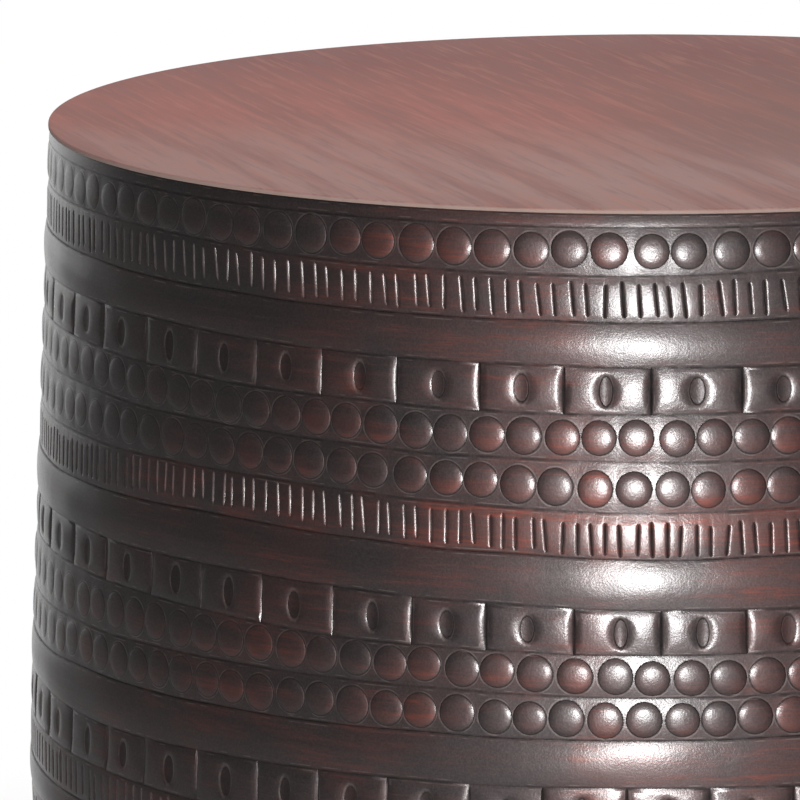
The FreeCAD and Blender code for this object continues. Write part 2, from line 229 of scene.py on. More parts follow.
# %% The rows
MM = 0.001
UPPER_ROWS = [
    ("collar", "plain", 4.2, 0, 0.0),
    ("dome_row_outer", "domes", 14.2, 103, 0.11),
    ("tick_row_outer", "ticks", 16.1, 254, 0.4),
    ("plain_band_outer", "plain", 14.1, 0, 0.0),
    ("panel_row_outer", "panels", 15.1, 48, 0.31),
    ("dome_row_second", "domes", 15.4, 110, -0.95),
    ("dome_row_third", "domes", 15.9, 109, -1.35),
    ("tick_row_middle", "ticks", 15.4, 282, 0.2),
    ("plain_band_middle", "plain", 17.3, 0, 0.0),
    ("panel_row_middle", "panels", 13.9, 49, 0.97),
    ("dome_row_fourth", "domes", 14.1, 109, 0.38),
    ("dome_row_inner", "domes", 13.9, 112, -0.42),
    ("plain_band_inner", "plain", 15.6, 0, 0.0),
    ("panel_row_inner", "panels", 17.0, 52, -1.7),
    ("tick_row_inner", "ticks", 15.5, 270, 0.0),
]
belly_height = (PLATE_UNDER - HEM_LEVEL) / MM - 2 * sum(row[2] for row in UPPER_ROWS)
LOWER_ROWS = [(f"lower_{name}", kind, height, count, phase + 1.3)
              for name, kind, height, count, phase in UPPER_ROWS[::-1]]
ROWS = UPPER_ROWS + [("belly_band", "plain", belly_height, 0, 0.0)] + LOWER_ROWS
LINE_HEIGHTS = PLATE_UNDER - np.r_[0, np.cumsum([row[2] for row in ROWS])] * MM
print("rows:", len(ROWS), "belly band", round(belly_height, 2), "mm, lowest line", LINE_HEIGHTS[-1].round(4))

# %% [markdown]
# The lines between rows are drawn by hand on the real wall, so each line wavers. The larger strays, up to six
# millimetres, are listed in millimetres for the azimuths that the photograph shows. The rest is left to
# seeded chance, as a few cosines.

# %% The lines between rows
WAVES = np.array([2, 3, 5, 8, 13, 21, 34])
STRAY_TURNS = np.radians([-140, -105, -75, -60, -50, -40, -30, -15, 0, 15, 45, 80, 120, 160])
STRAY_SEEN = slice(2, 9)
STRAY_REACH = math.radians(8)
STRAYS = {
    2: (0.2, 0.9, 0.9, 0.0, -1.1, -1.1, -1.1), 3: (1.4, 1.6, 1.4, 0.9, 0.0, -0.2, -0.5),
    4: (1.2, 1.4, 1.6, 1.2, 0.2, -0.2, -0.5), 5: (0.9, 1.2, 1.2, 0.7, 0.2, -0.5, -0.7),
    6: (1.4, 1.9, 1.9, 1.9, 0.7, 0.0, -0.5), 7: (0.0, 0.9, 1.7, 2.4, 1.2, 0.0, -1.4),
    8: (-0.7, 0.5, 2.1, 3.1, 1.9, 0.5, -0.9), 9: (1.2, 1.9, 2.4, 3.1, 2.4, 1.4, 0.2),
    10: (0.7, 1.2, 1.2, 1.2, 0.0, 0.0, -0.5), 11: (-4.5, -2.6, -0.9, 0.0, 0.2, 0.0, -0.2),
    12: (-6.4, -3.6, -2.8, -1.9, -1.2, -0.7, -0.5), 13: (-4.3, -4.7, -4.0, -2.4, -1.2, -0.9, 0.0),
    14: (-3.6, -3.1, -3.1, -2.4, -1.2, -0.5, 0.0), 15: (-2.4, -2.1, -1.9, -1.4, -0.7, -0.2, 0.0)}


def stray(number, turn):
    """Stray of a line in metres: the mean of the listed strays, each weighted by a bell curve of its angle."""
    listed = np.zeros(len(STRAY_TURNS))
    listed[STRAY_SEEN] = STRAYS.get(number, 0.0)
    apart = (turn[..., None] - STRAY_TURNS + np.pi) % (2 * np.pi) - np.pi
    weight = np.exp(-(apart / STRAY_REACH) ** 2) + 1e-9
    return MM * np.sum(weight * listed, axis=-1) / np.sum(weight, axis=-1)


def line_height(number, turn):
    """Height of a line: its level, its stray, and seven cosines that get smaller as they get shorter.

    The outermost lines run true, and the next ones waver less than the rest.
    """
    chance = np.random.default_rng(400 + number)
    free = 0.0 if number in (0, len(ROWS)) else (0.35 if number in (1, len(ROWS) - 1) else 1.0)
    swing = free * MM * 0.32 / np.sqrt(WAVES) * chance.uniform(0.5, 1.2, len(WAVES))
    start = chance.uniform(0, 2 * np.pi, len(WAVES))
    waves = np.sum(swing * np.cos(WAVES * turn[..., None] + start), axis=-1)
    return LINE_HEIGHTS[number] + stray(number, turn) + waves


print("lines that stray:", len(STRAYS))

# %% [markdown]
# Each ring needs a back as well, because the wall is a sheet and the inside can be seen from below. The back
# is the ring's two edge lines moved in by the thickness of the sheet, and two narrow strips close the ring.

# %% Closing a ring
NO_MARK = (0.0, 0.0, 9.0, 0.4)


def ring_back(points, low_edge, high_edge, low_turn, low_z, high_turn, high_z):
    """Back and closing strips of a ring whose edges are two loops of equal length that run to the right.

    The back edges lie at the same azimuth and height as the front edges, one sheet further in.
    """
    first = len(points)
    count = len(low_edge)
    back_low = on_wall(low_turn, low_z, -SHEET)
    back_high = on_wall(high_turn, high_z, -SHEET)
    low_back, high_back = first + np.arange(count), first + count + np.arange(count)
    step = lambda loop: np.roll(loop, -1)
    top_strip = np.stack([high_edge, step(high_edge), step(high_back), high_back], axis=-1)
    low_strip = np.stack([low_back, step(low_back), step(low_edge), low_edge], axis=-1)
    back = np.stack([step(low_back), low_back, high_back, step(high_back)], axis=-1)
    return np.vstack([points, back_low, back_high]), [top_strip, low_strip, back]


def blank_marks(tables):
    """Corner numbers for faces that carry no mark."""
    return np.tile(NO_MARK, (sum(table.size for table in tables), 1))


print("ring backs ready, sheet", SHEET / MM, "mm")

# %% [markdown]
# Plain bands are bulged between their lines, because the rows on both sides were beaten down. A grid of
# columns and rows is enough: the rise is a parabola across the band, plus a slow unevenness left by the
# hammer. The collar under the top also leans in, so that it stays in the shade of the plate.

# %% Plain bands
PLAIN_COLUMNS = 432
PLAIN_LINES = 13
BAND_RUB = 0.8


def to_line(number, turn, z):
    """Millimetres from a point of a row to the nearer of the row's two lines."""
    return np.minimum(line_height(number, turn) - z, z - line_height(number + 1, turn)) / MM


def plain_band(number, crown, tuck):
    """Grid over azimuth and share of height. Rise = crown times (1 - (2 share - 1) squared) plus gentle dents.

    The dents are twenty cosines that run both round and across the band and fade at its edges. A tuck leans the
    band in towards its upper line, by that many millimetres.
    """
    chance = np.random.default_rng(500 + number)
    turn = np.repeat(around(PLAIN_COLUMNS)[:, None], PLAIN_LINES, axis=1)
    share = np.broadcast_to((1 - np.cos(np.linspace(0, np.pi, PLAIN_LINES))) / 2, turn.shape)
    low, high = line_height(number + 1, turn), line_height(number, turn)
    z = low + share * (high - low)
    pace = chance.integers(6, 56, 20)
    lift = chance.uniform(-2.2, 2.2, 20)
    start = chance.uniform(0, 2 * np.pi, 20)
    dents = np.cos(pace * turn[..., None] + lift * share[..., None] + start) / pace ** 0.8
    bulge = 1 - (2 * share - 1) ** 2
    rise = MM * (bulge * (crown + 0.5 * crown * dents.sum(axis=-1)) - tuck * share)
    index = np.arange(turn.size).reshape(turn.shape)
    quads = grid_faces(index)
    points = on_wall(turn, z, rise).reshape(-1, 3)
    points, backs = ring_back(points, index[:, 0], index[:, -1], turn[:, 0], z[:, 0], turn[:, -1], z[:, -1])
    edge = to_line(number, turn, z).ravel()[quads.ravel()]
    marks = np.stack([0 * edge, 0 * edge, edge, BAND_RUB + 0 * edge], axis=-1)
    return points, [quads, *backs], [marks, blank_marks(backs)], []


print("plain bands:", sum(row[1] == "plain" for row in ROWS))

# %% [markdown]
# Domes and ovals are round marks in a square field. A square grid would cut a round edge into steps, so each
# field is a small wheel of sixteen spokes: rings of points round the middle, and a last ring on the field's
# own border, which it shares with its neighbours. A few dozen faces give a clean circle, and there are a
# thousand.

# %% The border of a wheel-shaped field
SIDE_POINTS = 3
SPOKE_COUNT = 4 * (SIDE_POINTS + 1)
SPOKES = 2 * np.pi / SPOKE_COUNT * (np.arange(SPOKE_COUNT) - (SIDE_POINTS - 1) / 2)


def border_loop(side, high_corner, high_line, low_corner, low_line):
    """One loop per field, leftwards round from the lower right. Its left side is its neighbour's right side."""
    left = lambda table: np.roll(table, 1, axis=0)
    return np.concatenate([side, high_corner, high_line[:, ::-1], left(high_corner), left(side)[:, ::-1],
                           left(low_corner), low_line, low_corner], axis=1)


def field_border(number, middle, half_left, half_right, side_share):
    """Azimuths and heights of the border points of a row's fields, as five tables: sides, corners and lines."""
    share = np.linspace(-1, 1, SIDE_POINTS + 2)[1:-1]
    line_turn = middle[:, None] + np.where(share < 0, half_left[:, None], half_right[:, None]) * share
    corner_turn = (middle + half_right)[:, None]
    high_corner, low_corner = line_height(number, corner_turn), line_height(number + 1, corner_turn)
    half_height = (high_corner - low_corner) / 2
    side = (high_corner + low_corner) / 2 + half_height * side_share * np.linspace(-1, 1, SIDE_POINTS)
    turns = [np.repeat(corner_turn, SIDE_POINTS, axis=1), corner_turn, line_turn, corner_turn, line_turn]
    levels = [side, high_corner, line_height(number, line_turn), low_corner, line_height(number + 1, line_turn)]
    return turns, levels


print("spokes at", np.degrees(SPOKES).round().astype(int))

# %% [markdown]
# A finish that draws a thin line round every mark has to know where it is inside the mark. The mesh is too
# coarse to hold such a line, so every corner of every face carries its place as numbers, and the finish draws
# the line between the corners. Beyond an oval the numbers are squeezed, so that its lip is as thin as a
# dome's.

# %% Places inside a mark
OVAL_LIP = 0.35
OVAL_FLAG = 50.0
BAR_REACH = 5.4


def field_place(number, turn, z, middle, middle_z, halves, mark_size, has_bars):
    """Four numbers for each point of a loop of a field.

    They are x / half width, y / half height, millimetres to the nearest row line or bar, and rub.
    """
    off = (turn - middle[:, None] + np.pi) % (2 * np.pi) - np.pi
    edge = to_line(number, turn, z)
    if has_bars:
        half = np.where(off > 0, halves[1][:, None], halves[0][:, None])
        aside = (half - np.abs(off)) * outline(z) / MM
        beyond = np.clip(np.abs(z - middle_z[:, None]) / MM - BAR_REACH, 0, None)
        edge = np.minimum(edge, aside + beyond)
    x = off * outline(middle_z)[:, None] / mark_size[0][:, None]
    y = (z - middle_z[:, None]) / mark_size[1][:, None]
    length = np.maximum(np.hypot(x, y), 1.0)
    widen = (1 + OVAL_LIP * (length - 1)) / length if has_bars else 1.0
    return np.stack([x * widen, y * widen, edge, mark_size[2][:, None] + 0 * edge], axis=-1)


print("bars reach", BAR_REACH, "mm up and down")

# %% [markdown]
# The wheel itself joins a hub, its rings and the border. Between its lines a punched row is crowned, and the
# lines lie low. The same function that lists the corners of the faces also lists the numbers at those
# corners, so that the two can't get out of step.

# %% Points and faces of a wheel
ROW_DROP = 0.40
ROW_CROWNS = {"domes": (0.44, 4), "ticks": (0.40, 2), "panels": (0.64, 2)}


def crowned(number, turn, z):
    """Rise of a punched row: crown times (1 - |2 share - 1| to a power), less the drop at the lines."""
    low, high = line_height(number + 1, turn), line_height(number, turn)
    crown, power = ROW_CROWNS[ROWS[number][1]]
    return MM * (crown * (1 - np.abs(2 * (z - low) / (high - low) - 1) ** power) - ROW_DROP)


def numbered_points(number, turns, levels, rises):
    """Points of several tables of a row, one table after the other, and for each table its points' numbers."""
    tables = [on_wall(t, z, r + crowned(number, t, z)) for t, z, r in zip(turns, levels, rises)]
    starts = np.cumsum([0] + [table.shape[0] * table.shape[1] for table in tables])
    ids = [start + np.arange(table.shape[0] * table.shape[1]).reshape(table.shape[:2])
           for start, table in zip(starts, tables)]
    return np.concatenate([table.reshape(-1, 3) for table in tables]), ids


def wheel_corners(hub, loops):
    """Corners of a wheel's faces: a fan from the hub to the first loop, then quads from loop to loop."""
    on = lambda table: np.roll(table, -1, axis=1)
    fan = np.stack([np.repeat(hub, SPOKE_COUNT, axis=1), loops[0], on(loops[0])], axis=2)
    strip = lambda inner, outer: np.stack([inner, outer, on(outer), on(inner)], axis=2)
    return [fan, *map(strip, loops, loops[1:])]


print("crowns in millimetres:", {kind: crown for kind, (crown, _) in ROW_CROWNS.items()})

# %% [markdown]
# A row of wheels puts these together: the border from the lines, the rings from the mark, the corner numbers
# for the finish, and the back. Edges that were struck sharp, such as the rim of a dome, are listed as
# creases, so that the shading breaks there although the faces stay few.

# %% Rows of wheels
BORDER_RUB = 0.5


def wheel_row(number, middle, halves, middle_z, hub_rise, rings, side_rise, side_share, mark_size, has_bars):
    """Points, faces, corner numbers and creases of a row of wheels.

    rings is a list of (x, y, rise) tables of shape (fields, spokes), in metres from each middle. The ring where
    the mark ends is struck sharp: the last one of a dome, the first one of an oval. Inside an oval the third
    corner number is raised by fifty, so that a finish can tell it from a cap.
    """
    turns, levels = field_border(number, middle, *halves, side_share)
    rises = [np.full(table.shape, side_rise if i == 0 else 0.0) for i, table in enumerate(turns)]
    ring_turns = [middle[:, None] + x / outline(middle_z)[:, None] for x, _, _ in rings]
    ring_levels = [middle_z[:, None] + y for _, y, _ in rings]
    points, ids = numbered_points(number, [middle[:, None], *ring_turns, *turns],
                                  [middle_z[:, None], *ring_levels, *levels],
                                  [hub_rise[:, None], *[rise for _, _, rise in rings], *rises])
    loops = ids[1:1 + len(rings)] + [border_loop(*ids[-5:])]
    place = lambda turn, z, bars: field_place(number, turn, z, middle, middle_z, halves, mark_size, bars)
    places = [place(turn, z, has_bars) for turn, z in zip(ring_turns + [border_loop(*turns)],
                                                          ring_levels + [border_loop(*levels)])]
    faces = wheel_corners(ids[0], loops)
    marks = wheel_corners(place(middle[:, None], middle_z[:, None], False), places)
    marks[0][..., 2] += OVAL_FLAG if has_bars else 0.0
    marks[-1][..., 3] = BORDER_RUB
    join = lambda line, corner: np.concatenate([line, corner], axis=1).ravel()
    edge_turn = join(turns[2], turns[1])
    points, backs = ring_back(points, join(ids[-1], ids[-2]), join(ids[-3], ids[-4]), edge_turn,
                              join(levels[4], levels[3]), edge_turn, join(levels[2], levels[1]))
    struck = loops[0 if has_bars else len(rings) - 1]
    pairs = [np.stack([struck, np.roll(struck, -1, axis=1)], axis=-1).reshape(-1, 2)]
    return (points, [table.reshape(-1, table.shape[-1]) for table in faces] + backs,
            [table.reshape(-1, 4) for table in marks] + [blank_marks(backs)], pairs)


print("one dome has", SPOKE_COUNT * 4, "faces")

# %% [markdown]
# No two blows sit quite alike, and none is quite as hard as the last. A seeded generator moves each mark a
# little, the same way in every run. The marks on the left were struck more lightly, and fade to faint rings.

# %% Spacing and strength of the blows
LIGHT_SIDE = math.radians(-65)
LIGHT_REACH = math.radians(22)


def spaced(count, phase, unevenness, chance):
    """Azimuths of a row's marks: even spacing from a phase in degrees, each moved by a share of the spacing.

    Also returns half the way to the next mark, on the left and on the right.
    """
    middle = math.radians(phase) + around(count) + unevenness * 2 * np.pi / count * chance.uniform(-1, 1, count)
    ahead = (np.roll(middle, -1) - middle) % (2 * np.pi)
    return middle, np.roll(ahead, 1) / 2, ahead / 2


def struck_share(turn):
    """Share of a blow's full depth: one, less 0.6 of a bell curve of the angle to the lightly struck side."""
    apart = (turn - LIGHT_SIDE + np.pi) % (2 * np.pi) - np.pi
    return 1 - 0.6 * np.exp(-(apart / LIGHT_REACH) ** 2)


print("blows at the lightest:", struck_share(np.array(LIGHT_SIDE)).round(2))

# %% [markdown]
# A dome was struck with a cupped punch: a shallow cap inside a thin ring where the punch's rim bit into the
# sheet. Every cap gets its own place, width and height. Three rings are enough for its round shoulder, and
# the third lies a little below the field.

# %% Dome rows
DOME_STEPS = np.array([0.55, 0.88, 1.0])
DOME_SHARES = np.array([0.74, 0.34, -0.15])
DOME_RADIUS = 6.15
DOME_RISE = 0.50
DOME_SEAT = 0.02


def dome_row(number, count, phase):
    """Caps on a row. Rise is near height times (1 - s squared) at share s of the radius, steeper by the rim."""
    chance = np.random.default_rng(600 + number)
    middle, half_left, half_right = spaced(count, phase, 0.05, chance)
    low, high = line_height(number + 1, middle), line_height(number, middle)
    drift = 0.35 * np.cos(5 * middle + chance.uniform(0, 6)) + chance.uniform(-0.45, 0.45, count)
    middle_z = (low + high) / 2 + MM * drift
    room = np.minimum(half_left, half_right) * outline(middle_z) - 0.10 * MM
    wide = np.minimum(room, DOME_RADIUS * MM * chance.uniform(0.94, 1.0, count))
    headroom = np.minimum(high - middle_z, middle_z - low) - 0.45 * MM
    tall = np.minimum(headroom, wide * chance.uniform(0.98, 1.06, count))
    height = MM * DOME_RISE * chance.uniform(0.85, 1.15, count) * struck_share(middle)
    rise = height[:, None, None] * DOME_SHARES[None, :, None] - DOME_SEAT * MM
    rings = [(wide[:, None] * s * np.cos(SPOKES), tall[:, None] * s * np.sin(SPOKES),
              np.repeat(rise[:, i], SPOKE_COUNT, axis=1)) for i, s in enumerate(DOME_STEPS)]
    return wheel_row(number, middle, (half_left, half_right), middle_z, height - DOME_SEAT * MM, rings,
                     -0.08 * MM, 0.3, (wide, tall, chance.uniform(0.4, 1.05, count)), False)


print("domes:", sum(row[3] for row in ROWS if row[1] == "domes"))

# %% [markdown]
# A panel lies between two upright bars cut with a chisel, with an oval punch mark in its middle. The sheet
# swells between the cuts, which is what catches the light beside every oval. The same wheel does this: an
# oval ring that is sunk, rings up the swelling and down again, one beside the bars, and the bars themselves
# on the border.

# %% Panel rows
PANEL_X = np.array([1, 1, 1, 1, 0.5, 0, -0.5, -1, -1, -1, -1, -1, -0.5, 0, 0.5, 1])
PANEL_Y = np.array([-0.5, 0, 0.5, 1, 1, 1, 1, 1, 0.5, 0, -0.5, -1, -1, -1, -1, -1])
PANEL_RUB = 0.8
BAR_DEPTH = 0.95


def panel_row(number, count, phase):
    """Swollen fields. The oval has half axes of 2.2 and 4.4 mm and lies about two thirds of a millimetre deep.

    Two rings round it climb back to the field, steep at first. Two more fall away to the bars, gently at first.
    """
    chance = np.random.default_rng(700 + number)
    bar, _, ahead = spaced(count, phase, 0.05, chance)
    middle = bar + ahead * chance.uniform(0.93, 1.07, count)
    half_left, half_right = middle - bar, bar + 2 * ahead - middle
    low, high = line_height(number + 1, middle), line_height(number, middle)
    middle_z = (low + high) / 2 + MM * chance.uniform(-0.3, 0.3, count)
    half = ((high - low) / 2)[:, None]
    span = np.where(PANEL_X > 0, half_right[:, None], half_left[:, None]) * outline(middle_z)[:, None]
    wide = MM * 2.2 * chance.uniform(0.88, 1.10, count)
    tall = np.minimum(MM * 4.4 * chance.uniform(0.92, 1.06, count), half[:, 0] - 1.7 * MM)
    sunk = MM * (chance.uniform(0.58, 0.76, count) * struck_share(middle))[:, None]
    depth = MM * chance.uniform(0.26, 0.42, count)[:, None]
    corner = np.abs(PANEL_Y) > 0.9
    at_side = np.abs(PANEL_X) > 0.9
    ring = lambda x, y, rise: (x, y, np.broadcast_to(rise, (count, SPOKE_COUNT)))
    oval = lambda size, reach, share: ring(size * wide[:, None] * np.cos(SPOKES), reach * np.sin(SPOKES),
                                           share * sunk)
    beside = lambda gap, end: span * PANEL_X - np.sign(PANEL_X) * np.where(corner, end, gap) * MM * at_side
    upward = lambda share: tall[:, None] + share * (half - tall[:, None])
    fall = lambda end, slope, drop: np.where(corner, end * at_side, slope * np.abs(PANEL_Y) - drop) * depth
    rings = [oval(1.0, tall[:, None], -1.0), oval(1.35, upward(0.20), -0.48), oval(2.8, upward(0.44), -0.06),
             ring(beside(3.0, 2.6), upward(0.62) * PANEL_Y, fall(-0.10, 0.5, 0.8)),
             ring(beside(0.6, 0.5), upward(0.82) * PANEL_Y, fall(-0.25, 0.6, 1.7))]
    return wheel_row(number, middle, (half_left, half_right), middle_z, -1.6 * sunk[:, 0], rings,
                     -BAR_DEPTH * MM, 0.62, (wide, tall, np.full(count, PANEL_RUB)), True)


print("panels:", sum(row[3] for row in ROWS if row[1] == "panels"))

# %% [markdown]
# Ticks are single blows of a straight chisel, close together. They run straight up, so a plain grid fits:
# eight columns for each tick and six lines across the row. Only the two lines in the middle are cut to full
# depth. Wheels could be used here too, but a grid gives straighter edges.

# %% Grid of a tick row
TICK_ENDS = np.array([0.0, 0.0, 1.0, 1.0, 0.0, 0.0])
TICK_BOTTOM = 3


def tick_mesh(number, turn, z, rise, inside, rub):
    """Points, faces, corner numbers and creases of tables of shape (ticks, columns, lines).

    Creases run round the ends of each groove and along its bottom.
    """
    cut = np.arange(turn.size).reshape(turn.shape)
    turn, z, rise, index = (table.reshape(-1, len(TICK_ENDS)) for table in (turn, z, rise, cut))
    quads = grid_faces(index)
    points = on_wall(turn, z, rise + crowned(number, turn, z)).reshape(-1, 3)
    points, backs = ring_back(points, index[:, 0], index[:, -1], turn[:, 0], z[:, 0], turn[:, -1], z[:, -1])
    inside = inside.ravel()[quads.ravel()]
    edge = to_line(number, turn, z).ravel()[quads.ravel()]
    marks = np.stack([inside, 0 * inside, edge, rub + 0 * edge], axis=-1)
    ends_cut = cut[:, 1:-2][..., [1, -2]]
    bottom_cut = cut[:, [TICK_BOTTOM], 1:-1]
    pairs = [np.stack([ends_cut[:, :-1], ends_cut[:, 1:]], axis=-1).reshape(-1, 2),
             np.stack([bottom_cut[..., :-1], bottom_cut[..., 1:]], axis=-1).reshape(-1, 2)]
    return points, [quads, *backs], [marks, blank_marks(backs)], pairs


print("tick grid:", len(TICK_ENDS), "lines across the row")

# %% [markdown]
# Each groove is a sharp V with soft lips, and the sheet swells a little between two of them. Length, depth
# and lean are left to seeded chance. The middle row wanders more than the others, and more of its patina is
# rubbed away.

# %% Tick rows
TICK_ACROSS = np.array([-1.35, -1.0, -0.32, 0.0, 0.32, 1.0, 1.35])
TICK_DEPTH = np.array([0.0, 0.02, 0.28, 1.0, 0.28, 0.02, 0.0])
TICK_SWELL = np.array([0.0, 0.6, 1.0, 1.0, 0.6, 0.0])
WANDERING_ROW = 7
LEANING_ROWS = (2, 28)


def tick_row(number, count, phase):
    """Seven columns across each groove, a sharp V with soft lips, and one on the field between grooves."""
    chance = np.random.default_rng(800 + number)
    wander, rub = (1.2, 1.3) if number == WANDERING_ROW else (0.4, 0.8)
    middle, _, half_right = spaced(count, phase, 0.16, chance)
    low, high = line_height(number + 1, middle), line_height(number, middle)
    half = (high - low) / 2
    shift = wander * np.cos(4 * (middle + math.radians(40))) + chance.uniform(-0.5, 0.5, count)
    length = np.minimum(MM * chance.uniform(4.7, 5.8, count), half - MM * (1.2 + np.abs(shift)))
    width = MM * chance.uniform(0.84, 1.02, count)
    depth = MM * chance.uniform(0.46, 0.62, count)[:, None, None]
    swell = MM * chance.uniform(0.08, 0.16, count)[:, None, None]
    lean = chance.normal(-0.09 if number in LEANING_ROWS else -0.02, 0.035, count)[:, None, None]
    over, under = length + 0.25 * MM, length - 0.6 * MM
    ends = np.stack([-half, -over, -under, under, over, half], axis=-1)[:, None, :]
    radius = outline((low + high) / 2)[:, None, None]
    across = width[:, None, None] * TICK_ACROSS[None, :, None] * (0.7 + 0.3 * TICK_ENDS)
    turn = middle[:, None, None] + (across + lean * ends) / radius
    field = np.repeat((middle + half_right)[:, None, None], len(TICK_ENDS), axis=2)
    turn = np.concatenate([turn, field], axis=1)
    z = np.repeat((low + high)[:, None, None] / 2 + MM * shift[:, None, None] + ends, turn.shape[1], axis=1)
    z[..., 0], z[..., -1] = line_height(number + 1, turn[..., 0]), line_height(number, turn[..., -1])
    groove = 0.6 * swell * TICK_SWELL - depth * TICK_DEPTH[None, :, None] * TICK_ENDS
    rise = np.concatenate([groove, swell * TICK_SWELL], axis=1)
    inside = np.concatenate([0.97 + 0.19 * np.abs(TICK_ACROSS), [1.6]])[None, :, None] + 0.15 * (1 - TICK_ENDS)
    return tick_mesh(number, turn, z, rise, np.broadcast_to(inside, turn.shape), rub)


print("ticks:", sum(row[3] for row in ROWS if row[1] == "ticks"))

# %% [markdown]
# Finishes come next, because each row is painted as soon as it is made. A finish is a small network of nodes.
# Two effects are shared: brushed streaks with blotches of rubbed metal, and the lines in and round a punched
# mark. Each is a node group, built once and placed in a finish with its own values.

# %% Node helpers
def new_finish(name):
    """An empty finish with its surface shader; returns the material, its node tree and the shader."""
    material = bpy.data.materials.new(name)
    material.use_nodes = True
    tree = material.node_tree
    tree.nodes.clear()
    output = tree.nodes.new("ShaderNodeOutputMaterial")
    surface = tree.nodes.new("ShaderNodeBsdfPrincipled")
    tree.links.new(surface.outputs["BSDF"], output.inputs["Surface"])
    return material, tree, surface


def add_node(tree, kind, **values):
    """A node with its settings; a name that is a socket sets that socket's value, otherwise a property."""
    node = tree.nodes.new(kind)
    for name, value in values.items():
        if name in node.inputs:
            node.inputs[name].default_value = value
        else:
            setattr(node, name, value)
    return node


def feed(tree, value, socket):
    """Link another node's output to a socket, or set a plain value on it."""
    if hasattr(value, "is_output"):
        tree.links.new(value, socket)
    else:
        socket.default_value = value


print("node helpers ready")

# %% [markdown]
# Masks are sums and products of numbers, so a finish reads best when each of those is one short call. A soft
# step turns a noise into patches with gentle borders.

# %% Numbers in a finish
def figure(tree, operation, first, second=None, clamp=False):
    """A Math node on two sockets or numbers; returns its result."""
    node = add_node(tree, "ShaderNodeMath", operation=operation, use_clamp=clamp)
    for socket, value in zip(node.inputs, (first, second)):
        if value is not None:
            feed(tree, value, socket)
    return node.outputs[0]


def product(tree, first, second):
    """First times second."""
    return figure(tree, "MULTIPLY", first, second)


def ramp(tree, value, low, high, start=0.0, end=1.0):
    """Map a value from low-high to start-end with a soft step."""
    node = add_node(tree, "ShaderNodeMapRange", interpolation_type="SMOOTHSTEP")
    tree.links.new(value, node.inputs["Value"])
    for name, number in (("From Min", low), ("From Max", high), ("To Min", start), ("To Max", end)):
        node.inputs[name].default_value = number
    return node.outputs["Result"]


print("number helpers ready")

# %% [markdown]
# A finish also needs a place to start from, grain, mixed colours and relief. Object coordinates are used all
# over, because they stay with a piece when it moves.

# %% Places, grain, colours and relief
def object_place(tree):
    """The point on the piece, in the piece's own coordinates."""
    return add_node(tree, "ShaderNodeTexCoord").outputs["Object"]


def split_axes(tree, vector):
    """The three numbers of a vector."""
    node = add_node(tree, "ShaderNodeSeparateXYZ")
    tree.links.new(vector, node.inputs["Vector"])
    return node.outputs["X"], node.outputs["Y"], node.outputs["Z"]


def noise(tree, where, scale, detail, roughness=0.5):
    """A noise over places, near 0.5 on average. Scale is its fineness, per metre."""
    node = add_node(tree, "ShaderNodeTexNoise", Detail=detail, Roughness=roughness)
    tree.links.new(where, node.inputs["Vector"])
    feed(tree, scale, node.inputs["Scale"])
    return node.outputs["Fac"]


def blend_colour(tree, share, first, second):
    """Mix two colours by a share; colours may be sockets or tuples."""
    node = add_node(tree, "ShaderNodeMix", data_type="RGBA")
    tree.links.new(share, node.inputs["Factor"])
    for socket, value in ((node.inputs[6], first), (node.inputs[7], second)):
        feed(tree, (*value, 1.0) if isinstance(value, tuple) else value, socket)
    return node.outputs[2]


def add_relief(tree, height, strength, distance, socket):
    """A bump of the given height on one of the shader's normals."""
    bump = add_node(tree, "ShaderNodeBump", Strength=strength, Distance=distance)
    tree.links.new(height, bump.inputs["Height"])
    tree.links.new(bump.outputs["Normal"], socket)


print("surface helpers ready")

# %% [markdown]
# Groups have named sockets. All that they put out here are plain numbers between zero and one, which each
# finish turns into colour, gloss or relief for itself.

# %% Group helpers
def new_group(name, inputs, outputs):
    """An empty node group with named sockets; returns the group and its two end nodes."""
    group = bpy.data.node_groups.new(name, "ShaderNodeTree")
    for label, kind, value in inputs:
        socket = group.interface.new_socket(name=label, in_out="INPUT", socket_type=kind)
        if value is not None:
            socket.default_value = value
    for label in outputs:
        group.interface.new_socket(name=label, in_out="OUTPUT", socket_type="NodeSocketFloat")
    return group, group.nodes.new("NodeGroupInput"), group.nodes.new("NodeGroupOutput")


def put_out(group, leave, results):
    """Link each result to the group's output of that name."""
    for label, value in results.items():
        group.links.new(value, leave.inputs[label])
    print("group:", group.name, list(results))


def place_group(tree, group, **values):
    """A group placed in a finish, with sockets linked or set by name (underscores stand for spaces)."""
    node = tree.nodes.new("ShaderNodeGroup")
    node.node_tree = group
    for label, value in values.items():
        feed(tree, value, node.inputs[label.replace("_", " ")])
    return node.outputs


print("group helpers ready")

# %% [markdown]
# Brushed streaks are noise that is stretched a long way in one direction. The stretch is given as a scale for
# each axis, so the same group makes level streaks round the wall, slanting ones on the top, and turned marks.

